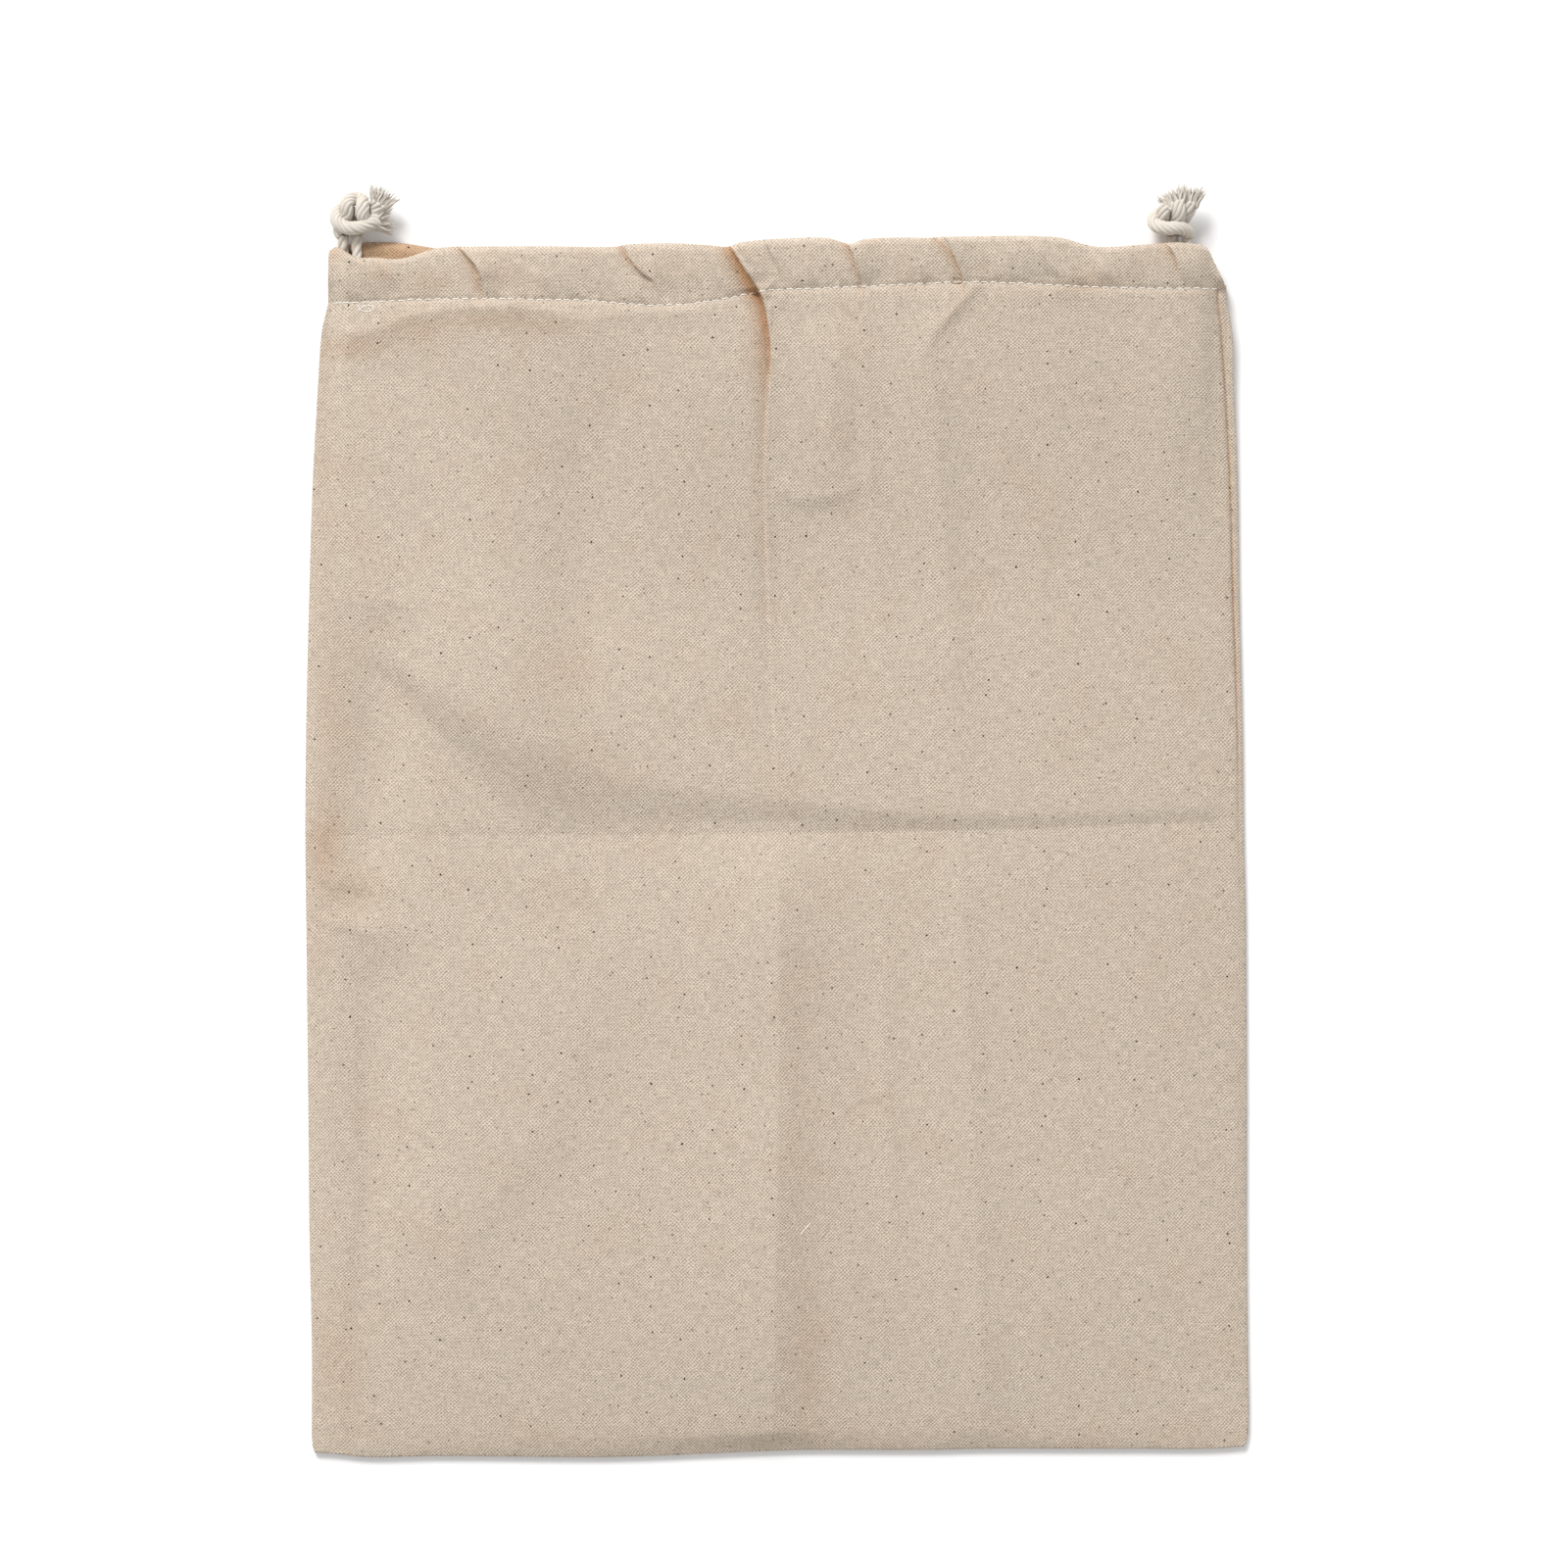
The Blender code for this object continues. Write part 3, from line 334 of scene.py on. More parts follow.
RIGHT_KNOT_STRANDS = (
    ((2.6, 0.0, 0.0), (2.6, 1.7, 1.0), (-0.4, 2.8, 4.0), (-5.2, 2.6, 4.8), (-9.1, 3.9, 2.8), (-9.7, 6.6, -0.2),
     (-7.5, 8.4, -2.2), (-3.0, 7.7, -2.8), (1.1, 6.9, -0.8), (3.0, 10.2, 1.8), (3.2, 12.8, 2.2)),
    ((-2.6, 0.0, 0.0), (-3.4, 2.1, -1.8), (-6.0, 5.4, -0.8), (-6.6, 8.0, 2.4), (-5.9, 10.2, 3.2),
     (-4.2, 11.0, 1.8), (-2.8, 9.6, 0.4), (-2.2, 7.4, -0.4), (-1.0, 5.8, 1.6), (-0.8, 9.0, 4.2),
     (-1.8, 12.2, 3.8)),
)


def linear(hex_code):
    """The linear colour, with alpha, of an sRGB hex value."""
    parts = [int(hex_code[place:place + 2], 16) / 255 for place in (1, 3, 5)]
    return tuple(part / 12.92 if part <= 0.04045 else ((part + 0.055) / 1.055) ** 2.4 for part in parts) + (1.0,)


class ClothSettings(bpy.types.PropertyGroup):
    """Woven cotton of the body and casings."""

    colour: bpy.props.FloatVectorProperty(
        name="Cloth", description="Colour of the unbleached cloth", subtype="COLOR", size=4,
        min=0.0, max=1.0, default=linear("#C3B4A3"))
    # Painted shade: the colour painted on the cloth in its deepest folds, standing in for light bouncing between
    # their walls
    fold_shade_colour: bpy.props.FloatVectorProperty(
        name="Deep fold", description="Colour that the cloth takes in its deepest folds", subtype="COLOR",
        size=4, min=0.0, max=1.0, default=linear("#AA8361"))
    # Painted shade: the back casing, seen through the mouth, is painted towards this deep tan for the shade inside
    # the bag
    mouth_shade_colour: bpy.props.FloatVectorProperty(
        name="Inside", description="Colour of the cloth seen in the mouth", subtype="COLOR", size=4,
        min=0.0, max=1.0, default=linear("#B59577"))
    fold_depth: bpy.props.FloatProperty(
        name="Fold depth", description="How strongly the creases and hills stand out", default=1.25, min=0.0,
        max=2.0, subtype="FACTOR")
    pucker_height: bpy.props.FloatProperty(
        name="Pucker height", description="Height of the puckers along the stitch line", default=0.00034,
        min=0.0, unit="LENGTH")
    thread_spacing: bpy.props.FloatProperty(
        name="Thread spacing", description="Distance from one thread of the weave to the next as drawn",
        default=0.00068, min=0.0002, unit="LENGTH")


class StitchSettings(bpy.types.PropertyGroup):
    """The lockstitched line under the casing."""

    thread_colour: bpy.props.FloatVectorProperty(
        name="Thread", description="Colour of the sewing thread", subtype="COLOR", size=4,
        min=0.0, max=1.0, default=linear("#F1EDE6"))
    pitch: bpy.props.FloatProperty(
        name="Pitch", description="Distance from one stitch to the next", default=0.0035, min=0.001,
        unit="LENGTH")
    length: bpy.props.FloatProperty(
        name="Length", description="Length of a stitch that shows", default=0.0026, min=0.0005, unit="LENGTH")
    thickness: bpy.props.FloatProperty(
        name="Thickness", description="Diameter of the sewing thread as drawn", default=0.00040, min=0.0001,
        unit="LENGTH")


class CordSettings(bpy.types.PropertyGroup):
    """The two cotton cords and their knots."""

    colour: bpy.props.FloatVectorProperty(
        name="Cord", description="Colour of the cotton cord", subtype="COLOR", size=4,
        min=0.0, max=1.0, default=linear("#D2CABF"))
    lay_length: bpy.props.FloatProperty(
        name="Lay", description="Length in which a ply turns once round the cord", default=0.0150, min=0.004,
        unit="LENGTH")
    fray_length: bpy.props.FloatProperty(
        name="Fray", description="Length of the yarns that have come loose at a cord's end", default=0.0080,
        min=0.001, unit="LENGTH")


class StageSettings(bpy.types.PropertyGroup):
    """Floor, light and camera."""

    floor_colour: bpy.props.FloatVectorProperty(
        name="Floor", description="Colour of the floor", subtype="COLOR", size=4,
        min=0.0, max=1.0, default=linear("#FAFAFA"))
    key_power: bpy.props.FloatProperty(
        name="Key light", description="Power of the large soft light at the upper left", default=592.0,
        min=0.0, unit="POWER")
    fill: bpy.props.FloatProperty(
        name="Fill light", description="Strength of the even light from all round", default=0.64, min=0.0)
    camera_distance: bpy.props.FloatProperty(
        name="Camera distance", description="Height of the camera over the bag", default=2.4, min=0.5,
        unit="LENGTH")
    frame_width: bpy.props.FloatProperty(
        name="Frame width", description="Width of floor that the picture takes in", default=0.596, min=0.1,
        unit="LENGTH")


def ease(share):
    """A smooth step from 0 to 1."""
    held = np.clip(share, 0.0, 1.0)
    return held * held * (3 - 2 * held)


def mix(start, end, share):
    return start + (end - start) * share


def curve_at(table, column, place):
    """One column of a table at places in its first column, along a smooth curve through the rows."""
    at = table[:, 0]
    values = table[:, column]
    last = len(at) - 1
    place = np.clip(np.asarray(place, float), at[0], at[last])
    low = np.maximum(np.arange(last + 1) - 1, 0)
    high = np.minimum(np.arange(last + 1) + 1, last)
    slope = (values[high] - values[low]) / (at[high] - at[low])
    row = np.clip(np.searchsorted(at, place, side="left") - 1, 0, last - 1)
    run = at[row + 1] - at[row]
    share = (place - at[row]) / run
    rise = values[row + 1] - values[row]
    bend = (slope[row] * run - rise) * (1 - share) + (rise - slope[row + 1] * run) * share
    return values[row] + rise * share + share * (1 - share) * bend


def line_x(height_share, line):
    return HALF_WIDTH * curve_at(UP_LINES, line, height_share)


def height_share_at(y):
    return (y - BOTTOM_Y) / BAG_HEIGHT


def bottom_y(x):
    return BOTTOM_Y + BAG_HEIGHT * curve_at(ACROSS_LINES, BOTTOM_RISE, x / HALF_WIDTH)


def cross_crease_y(x):
    return BOTTOM_Y + BAG_HEIGHT * curve_at(ACROSS_LINES, CROSS_CREASE, x / HALF_WIDTH)


def stitch_y(x):
    return STITCH_Y + CASING_DEPTH * curve_at(ACROSS_LINES, STITCH_RISE, x / HALF_WIDTH)


def mouth_height(x):
    """Height of the front casing's middle over the cords."""
    opening = ease((0.90 - np.abs(x) / HALF_WIDTH) / 0.42)
    return 1.5 * TUNNEL_HEIGHT + mix(CORNER_GAP, MOUTH_GAP, opening)


def side_share(x, height_share):
    """0 on the side edges, and 1 where the cloth has risen to its full height."""
    inside = np.minimum(x - line_x(height_share, LEFT_EDGE), line_x(height_share, RIGHT_EDGE) - x)
    return ease(inside / SHOULDER)


def stitched_height(x):
    """Height of the front casing's middle at the stitch line."""
    height_share = height_share_at(stitch_y(x))
    inside = np.minimum(x - line_x(height_share, LEFT_EDGE), line_x(height_share, RIGHT_EDGE) - x)
    low = corner_height(x) - 0.4 * TUNNEL_HEIGHT
    return mix(low, mouth_height(x) - STITCH_DIP, 1 - (1 - np.clip(inside / STITCHED_SHOULDER, 0, 1)) ** 2)


def edge_rise(inside):
    """Height of the loft at a distance inside an edge, as a share: it turns up at once and then rises slowly."""
    inside = np.maximum(inside, 0.0)
    turned = EDGE_RISE / BODY_LOFT
    slow = 1 - (1 - np.minimum(inside / SOFT_SHOULDER, 1.0)) ** 2
    return turned * (1 - np.exp(-inside / 0.0025)) + (1 - turned) * slow


def fold_profile(shape, offset, low_width, high_width):
    """Height of a fold at a distance from its line, as a share of the fold's height."""
    spread = np.where(offset < 0, -offset / low_width, offset / high_width)
    if shape == "ridge":
        return np.exp(-spread ** 1.25)
    if shape == "hill":
        return np.exp(-spread ** 2)
    turn = ease(0.5 + offset / 1.2)
    return (2 * turn - 1) * np.exp(-spread ** 1.2)


def fold_relief(x, y):
    """Height that all folds add to the cloth, in metres, for places in metres."""
    across = x / MM
    up = y / MM
    relief = np.zeros_like(across)
    for folds, along, off, gain in ((UP_FOLDS, up, across, 1.25), (ACROSS_FOLDS, across, up, 0.85)):
        for shape, low_width, high_width, points in folds:
            table = np.array(sorted(points))
            reach = ease((along - table[0, 0]) / 4 + 1) * ease((table[-1, 0] - along) / 4 + 1)
            height = curve_at(table, 2, along) * reach * gain * (1 + 0.8 * ease((up - 211.0) / 5))
            relief += height * fold_profile(shape, off - curve_at(table, 1, along), low_width, high_width)
    slope = np.array(SLOPE)
    above = up - curve_at(slope, 1, across)
    run = curve_at(slope, 3, across)
    fade = np.exp(-(np.maximum(above - run, 0) / SLOPE_FADE) ** 2)
    relief += curve_at(slope, 2, across) * ease(0.5 + above / (2 * run)) * fade
    return relief * MM * bpy.context.scene.bag_cloth.fold_depth


def fold_shade_share(x, y):
    """How much painted shade each place gets from the folds, by how deep in a fold it lies, from 0 to 1."""
    painted_shade = np.zeros_like(x)
    for low_width, high_width, points in FOLD_SHADE_LINES:
        table = np.array(sorted(points))
        offset = x / MM - curve_at(table, 1, y / MM)
        spread = np.where(offset < 0, -offset / low_width, offset / high_width)
        inside = (y / MM >= table[0, 0]) & (y / MM <= table[-1, 0] + 6)
        gain = 1 + 1.3 * ease((y / MM - 203.0) / 6)
        painted_shade = np.maximum(painted_shade, gain * curve_at(table, 2, y / MM) * np.exp(-spread ** 1.5) * inside)
    return painted_shade


def painted_shade_patches(x, y):
    """Painted shade in patches, warm and deep, where the cloth lies in hollows and folds, from 0 to 1."""
    painted_shade = np.zeros_like(x)
    for across, up, reach_across, reach_up, depth in SHADE_PATCHES:
        spread = ((x / MM - across) / reach_across) ** 2 + ((y / MM - up) / reach_up) ** 2
        painted_shade += depth * np.exp(-spread)
    return painted_shade


def soft_waves(x, y, seed, shortest, longest, count):
    """Slight unevenness of the cloth as a sum of waves in many directions, about -1 to 1."""
    rng = np.random.default_rng(seed)
    total = np.zeros_like(x)
    for _ in range(count):
        length = np.exp(rng.uniform(np.log(shortest), np.log(longest)))
        angle = rng.uniform(0, math.pi)
        phase = rng.uniform(0, math.tau)
        total += np.sin(math.tau * (x * math.cos(angle) + y * math.sin(angle)) / length + phase)
    return total / math.sqrt(count)


def sewn_relief(x, y):
    """Puckers and the sunken line where the casing is sewn down."""
    cloth = bpy.context.scene.bag_cloth
    away = y - stitch_y(x)
    along = soft_waves(x, 0.35 * away, 11, 0.0045, 0.0140, 18) * (0.7 + 0.5 * soft_waves(x, 0 * x, 13, 0.03, 0.09, 6))
    puckers = cloth.pucker_height * along * np.exp(-np.abs(away) / 0.0050)
    return puckers - 0.00045 * np.exp(-(away / 0.0011) ** 2)


def cloth_relief(x, y):
    uneven = 0.00010 * soft_waves(x, y, 5, 0.030, 0.110, 16) + 0.000022 * soft_waves(x, y, 7, 0.008, 0.025, 18)
    above = y - stitch_y(x)
    gathers = 0.00040 * soft_waves(x + 0.4 * above, 0.3 * above, 17, 0.007, 0.026, 14) * ease(above / 0.004)
    return fold_relief(x, y) + sewn_relief(x, y) + uneven + gathers


def body_front_z(x, y):
    """Height of the front's outer face over the floor."""
    height_share = height_share_at(y)
    rise = side_share(x, height_share)
    inside = np.minimum(x - line_x(height_share, LEFT_EDGE), line_x(height_share, RIGHT_EDGE) - x)
    loft = BODY_LOFT * edge_rise(inside) * edge_rise(y - bottom_y(x))
    near_mouth = ease((y - stitch_y(x) + MOUTH_RUN) / MOUTH_RUN)
    near_side = 1 - ease(inside / 0.030)
    near_mouth = mix(near_mouth, near_mouth ** 2.5, near_side)
    base = mix(SEAM_EDGE + loft, stitched_height(x) + STITCHED_HALF, near_mouth)
    edge = ease(np.minimum(rise * 3, (y - bottom_y(x)) / 0.008))
    groove = 0.0011 * np.exp(-np.abs(x - line_x(height_share, GROOVE)) / 0.0005)
    groove *= ease((height_share - 0.42) / 0.25)
    return base + cloth_relief(x, y) * edge - groove


def casing_y(x, way, drop_column):
    """A place in a casing, by its share of the way from the stitch line to the mouth's edge."""
    table = CASING_LINES[:, (0, drop_column)]
    drop = curve_at(table, 1, x / HALF_WIDTH) + DROP_SEEN[drop_column]
    return mix(stitch_y(x), TOP_Y - drop * CASING_DEPTH, way)


def corner_height(x):
    """Height of the front casing's middle over the cords, drooping at its ends."""
    near_end = np.minimum(x - CASING_LEFT, CASING_RIGHT - x)
    return mouth_height(x) - CORNER_DROP * (1 - ease(near_end / CORNER_RUN))


def right_way_out():
    """Distance from the right end at which the casing's inner cloth stops."""
    turn = (mouth_height(HALF_WIDTH) - BACK_CORD_Z) / 2
    return RIGHT_OUTER_NECK + 2 * NECK_SPACING + turn + WAY_OUT_MARGIN


def left_way_out():
    """Distance from the left end at which the casing's inner cloth stops."""
    return LEFT_OUTER_NECK + NECK_SPACING + CORD_BEND_RADIUS + WAY_OUT_MARGIN


def grid_faces(rows, columns, closed=False, start=0):
    """Four-sided faces between the rows of a grid of points. A closed grid's rows are rings."""
    row, column = np.meshgrid(np.arange(rows - 1), np.arange(columns if closed else columns - 1), indexing="ij")
    beside = (column + 1) % columns
    corners = (row * columns + column, row * columns + beside, (row + 1) * columns + beside,
               (row + 1) * columns + column)
    return (np.stack(corners, axis=-1).reshape(-1, 4) + start).tolist()


def make_piece(name, points, faces, material, painted_shade=None, layout=None):
    """A smooth mesh object, with each point's share of painted shade where one is given, and layout a place on the
    cord for each.
    """
    mesh = bpy.data.meshes.new(name)
    mesh.from_pydata(np.asarray(points).reshape(-1, 3).tolist(), [], faces)
    mesh.materials.append(material)
    if painted_shade is not None:
        shares = mesh.attributes.new("painted_shade", "FLOAT", "POINT")
        shares.data.foreach_set("value", np.asarray(painted_shade, np.float32).ravel())
    if layout is not None:
        corners = np.empty(len(mesh.loops), np.int32)
        mesh.loops.foreach_get("vertex_index", corners)
        layer = mesh.uv_layers.new(name="along the cord")
        layer.data.foreach_set("uv", np.asarray(layout, np.float32)[corners].ravel())
    mesh.shade_smooth()
    mesh.update()
    piece = bpy.data.objects.new(name, mesh)
    bpy.context.scene.collection.objects.link(piece)
    return piece


def add_node(material, kind, inputs=None, **settings):
    """Adds a node to a material, with its settings, and with a value or a link for each input named."""
    tree = material.node_tree
    node = tree.nodes.new(kind)
    for name, value in settings.items():
        setattr(node, name, value)
    for socket, value in (inputs or {}).items():
        if isinstance(value, bpy.types.NodeSocket):
            tree.links.new(value, node.inputs[socket])
        else:
            node.inputs[socket].default_value = value
    return node


def new_material(name):
    material = bpy.data.materials.new(name)
    material.use_nodes = True
    material.node_tree.nodes.clear()
    return material


def woven_cotton(name, colour, shade_colour):
    """Unbleached cotton muslin, plain woven from uneven yarn and not pressed: matt, cream, with thick places in its
    threads and brown flecks of seed husk. Deep folds get painted shade, warm and deep, for the light passing wall to
    wall."""
    material = new_material(name)
    spacing = bpy.context.scene.bag_cloth.thread_spacing
    place = add_node(material, "ShaderNodeTexCoord").outputs["Object"]
    wander = add_node(material, "ShaderNodeTexNoise", {"Vector": place, "Scale": 140.0, "Detail": 3.0})
    shifted = add_node(material, "ShaderNodeVectorMath", {
        0: wander.outputs["Color"], 1: (0.0022, 0.0022, 0.0), 2: place}, operation="MULTIPLY_ADD")
    split = add_node(material, "ShaderNodeSeparateXYZ", {0: shifted.outputs[0]})
    # The real threads are 0.38 mm apart. They are drawn 0.68 mm apart, so that they show.
    waves = []
    for axis in ("X", "Y"):
        turned = add_node(material, "ShaderNodeMath", {0: split.outputs[axis], 1: math.pi / spacing},
                          operation="MULTIPLY")
        waves.append(add_node(material, "ShaderNodeMath", {0: turned.outputs[0]}, operation="SINE").outputs[0])
    weave = add_node(material, "ShaderNodeMath", {0: waves[0], 1: waves[1]}, operation="MULTIPLY")
    # Thick and thin places run along each thread, 0.6 mm across and 4 mm long or more
    slubs = []
    for stretch in ((1700.0, 230.0, 1.0), (200.0, 1700.0, 1.0)):
        drawn = add_node(material, "ShaderNodeVectorMath", {0: place, 1: stretch}, operation="MULTIPLY")
        slubs.append(add_node(material, "ShaderNodeTexNoise", {
            "Vector": drawn.outputs[0], "Scale": 1.0, "Detail": 2.0, "Roughness": 0.6}).outputs["Fac"])
    threads = add_node(material, "ShaderNodeMath", {0: slubs[0], 1: slubs[1]}, operation="ADD")
    surface = add_node(material, "ShaderNodeMath", {0: weave.outputs[0], 1: 0.50, 2: threads.outputs[0]},
                       operation="MULTIPLY_ADD")
    tone = add_node(material, "ShaderNodeMapRange", {
        "Value": surface.outputs[0], "From Min": 0.60, "From Max": 1.40, "To Min": 0.68, "To Max": 1.32})
    patches = add_node(material, "ShaderNodeTexNoise", {
        "Vector": place, "Scale": 38.0, "Detail": 3.0, "Roughness": 0.55})
    patch_tone = add_node(material, "ShaderNodeMapRange", {
        "Value": patches.outputs["Fac"], "From Min": 0.3, "From Max": 0.7, "To Min": 0.992, "To Max": 1.008})
    shade = add_node(material, "ShaderNodeMath", {0: tone.outputs[0], 1: patch_tone.outputs[0]},
                     operation="MULTIPLY")
    # Painted shade: each point's share of painted shade, from the folds, the groove and the shade patches
    depth = add_node(material, "ShaderNodeAttribute", attribute_name="painted_shade")
    # Faint tan clouds, 20 mm across, where the cloth has taken up more of the raw cotton's colour
    clouds = add_node(material, "ShaderNodeTexNoise", {"Vector": place, "Scale": 55.0, "Detail": 2.0})
    cloudy = add_node(material, "ShaderNodeMapRange", {
        "Value": clouds.outputs["Fac"], "From Min": 0.50, "From Max": 0.75, "To Max": 0.10})
    warmed = add_node(material, "ShaderNodeMath", {0: depth.outputs["Fac"], 1: cloudy.outputs[0]},
                      operation="ADD", use_clamp=True)
    # The cloth's colour, mixed towards the painted shade colour by the painted shade and a little by the tan clouds
    ground = add_node(material, "ShaderNodeMix", {0: warmed.outputs[0], 6: colour, 7: shade_colour},
                      data_type="RGBA")
    toned = add_node(material, "ShaderNodeVectorMath", {0: ground.outputs[2], "Scale": shade.outputs[0]},
                     operation="SCALE")
    # Husk flecks: a few dark ones 0.8 mm across in cells of 13 mm, and many faint ones in cells of 6 mm
    rough_place = add_node(material, "ShaderNodeTexNoise", {"Vector": place, "Scale": 900.0, "Detail": 1.0})
    ragged = add_node(material, "ShaderNodeVectorMath", {
        0: rough_place.outputs["Color"], 1: (0.0006, 0.0006, 0.0), 2: place}, operation="MULTIPLY_ADD")
    flecked = toned.outputs[0]
    for cell, reach, strength, fleck in ((0.0115, 0.00048, 1.00, "#33251A"), (0.0062, 0.00038, 0.80, "#60482F")):
        dots = add_node(material, "ShaderNodeTexVoronoi", {
            "Vector": ragged.outputs[0], "Scale": 1 / cell, "Randomness": 1.0}, voronoi_dimensions="2D")
        chance = add_node(material, "ShaderNodeSeparateColor", {0: dots.outputs["Color"]})
        kept = add_node(material, "ShaderNodeMapRange", {
            "Value": chance.outputs[0], "From Min": 0.15, "From Max": 0.9, "To Max": strength})
        near = add_node(material, "ShaderNodeMapRange", {
            "Value": dots.outputs["Distance"], "From Min": 0.6 * reach / cell, "From Max": reach / cell,
            "To Min": 1.0, "To Max": 0.0}, interpolation_type="SMOOTHSTEP")
        share = add_node(material, "ShaderNodeMath", {0: near.outputs[0], 1: kept.outputs[0]},
                         operation="MULTIPLY")
        flecked = add_node(material, "ShaderNodeMix", {0: share.outputs[0], 6: flecked, 7: linear(fleck)},
                           data_type="RGBA").outputs[2]
    bump = add_node(material, "ShaderNodeBump", {
        "Strength": 0.8, "Distance": 0.00030, "Height": surface.outputs[0]})
    shader = add_node(material, "ShaderNodeBsdfPrincipled", {
        "Base Color": flecked, "Roughness": 0.94, "Normal": bump.outputs[0], "Specular IOR Level": 0.25,
        "Sheen Weight": 0.08, "Sheen Roughness": 0.6})
    add_node(material, "ShaderNodeOutputMaterial", {"Surface": shader.outputs[0]})
    return material


def cotton_yarn(name, colour):
    """Soft cotton cord, laid from loose bleached yarn and handled: matt and fuzzy, with fibres along each ply
    and grey in the gaps between the plies."""
    material = new_material(name)
    place = add_node(material, "ShaderNodeUVMap", uv_map="along the cord").outputs[0]
    # Fibre bundles are 0.35 mm across and about 5 mm long. The layout is in mm.
    drawn = add_node(material, "ShaderNodeVectorMath", {0: place, 1: (2.8, 0.22, 1.0)}, operation="MULTIPLY")
    fibres = add_node(material, "ShaderNodeTexNoise", {
        "Vector": drawn.outputs[0], "Scale": 1.0, "Detail": 3.0, "Roughness": 0.6})
    tone = add_node(material, "ShaderNodeMapRange", {
        "Value": fibres.outputs["Fac"], "From Min": 0.3, "From Max": 0.7, "To Min": 0.86, "To Max": 1.10})
    toned = add_node(material, "ShaderNodeVectorMath", {0: colour[:3], "Scale": tone.outputs[0]},
                     operation="SCALE")
    bump = add_node(material, "ShaderNodeBump", {
        "Strength": 0.8, "Distance": 0.0003, "Height": fibres.outputs["Fac"]})
    shader = add_node(material, "ShaderNodeBsdfPrincipled", {
        "Base Color": toned.outputs[0], "Roughness": 0.93, "Normal": bump.outputs[0],
        "Specular IOR Level": 0.2, "Sheen Weight": 0.12, "Sheen Roughness": 0.6})
    add_node(material, "ShaderNodeOutputMaterial", {"Surface": shader.outputs[0]})
    return material


def sewing_thread(name, colour):
    """Bleached sewing thread, tightly twisted: smoother and whiter than the cloth, with a faint gloss."""
    material = new_material(name)
    place = add_node(material, "ShaderNodeUVMap", uv_map="along the cord").outputs[0]
    # The twist turns once in about 1 mm. The layout is in mm.
    twist = add_node(material, "ShaderNodeTexWave", {"Vector": place, "Scale": 0.5, "Distortion": 0.4},
                     bands_direction="DIAGONAL")
    tone = add_node(material, "ShaderNodeMapRange", {
        "Value": twist.outputs["Fac"], "To Min": 0.90, "To Max": 1.04})
    toned = add_node(material, "ShaderNodeVectorMath", {0: colour[:3], "Scale": tone.outputs[0]},
                     operation="SCALE")
    shader = add_node(material, "ShaderNodeBsdfPrincipled", {
        "Base Color": toned.outputs[0], "Roughness": 0.6, "Specular IOR Level": 0.4})
    add_node(material, "ShaderNodeOutputMaterial", {"Surface": shader.outputs[0]})
    return material


def studio_floor(name, colour):
    """Matt painted board: even and pale, with a faint mottle."""
    material = new_material(name)
    place = add_node(material, "ShaderNodeTexCoord").outputs["Object"]
    mottle = add_node(material, "ShaderNodeTexNoise", {"Vector": place, "Scale": 6.0, "Detail": 2.0})
    tone = add_node(material, "ShaderNodeMapRange", {
        "Value": mottle.outputs["Fac"], "To Min": 0.995, "To Max": 1.005})
    toned = add_node(material, "ShaderNodeVectorMath", {0: colour[:3], "Scale": tone.outputs[0]},
                     operation="SCALE")
    shader = add_node(material, "ShaderNodeBsdfPrincipled", {
        "Base Color": toned.outputs[0], "Roughness": 0.95, "Specular IOR Level": 0.1})
    add_node(material, "ShaderNodeOutputMaterial", {"Surface": shader.outputs[0]})
    return material


def stepped_places(start, end, dense, finest, coarsest, growth):
    """Places from start to end, closer together near the dense ones."""
    places = [start]
    while places[-1] < end:
        nearest = min(abs(places[-1] - spot) for spot in dense)
        places.append(places[-1] + min(coarsest, finest + growth * nearest))
    stretched = np.array(places)
    return start + (stretched - start) * (end - start) / (stretched[-1] - start)


def body_grid():
    """Places of all points of the body's front, as rows of x and y."""
    top = UP_LINES[-1]
    spots = [HALF_WIDTH * top[line] for line in (MIDDLE_CREASE, SECOND_CREASE, GROOVE, RIGHT_EDGE, LEFT_EDGE)]
    across = stepped_places(HALF_WIDTH * top[LEFT_EDGE], HALF_WIDTH * top[RIGHT_EDGE], spots, 0.0003, 0.0016, 0.09)
    lines = HALF_WIDTH * top[LEFT_EDGE:RIGHT_EDGE + 1]
    first = np.clip(np.searchsorted(lines, across, side="right") - 1, 0, 3)
    share = (across - lines[first]) / (lines[first + 1] - lines[first])
    middle = cross_crease_y(0.0)
    up = stepped_places(BOTTOM_Y, STITCH_Y, (BOTTOM_Y, middle, STITCH_Y), 0.0004, 0.0018, 0.07)
    low_share = np.clip((up - BOTTOM_Y) / (middle - BOTTOM_Y), 0, 1)[:, None]
    high_share = np.clip((up - middle) / (STITCH_Y - middle), 0, 1)[:, None]
    x = np.broadcast_to(across, (len(up), len(across)))
    for _ in range(4):
        y = mix(mix(bottom_y(x), cross_crease_y(x), low_share), stitch_y(x), high_share)
        heights = height_share_at(y)
        edges = np.stack([line_x(heights, line) for line in range(LEFT_EDGE, RIGHT_EDGE + 1)])
        low = np.take_along_axis(edges, np.broadcast_to(first, (1,) + x.shape), axis=0)[0]
        high = np.take_along_axis(edges, np.broadcast_to(first + 1, (1,) + x.shape), axis=0)[0]
        x = mix(low, high, share)
    return x, y


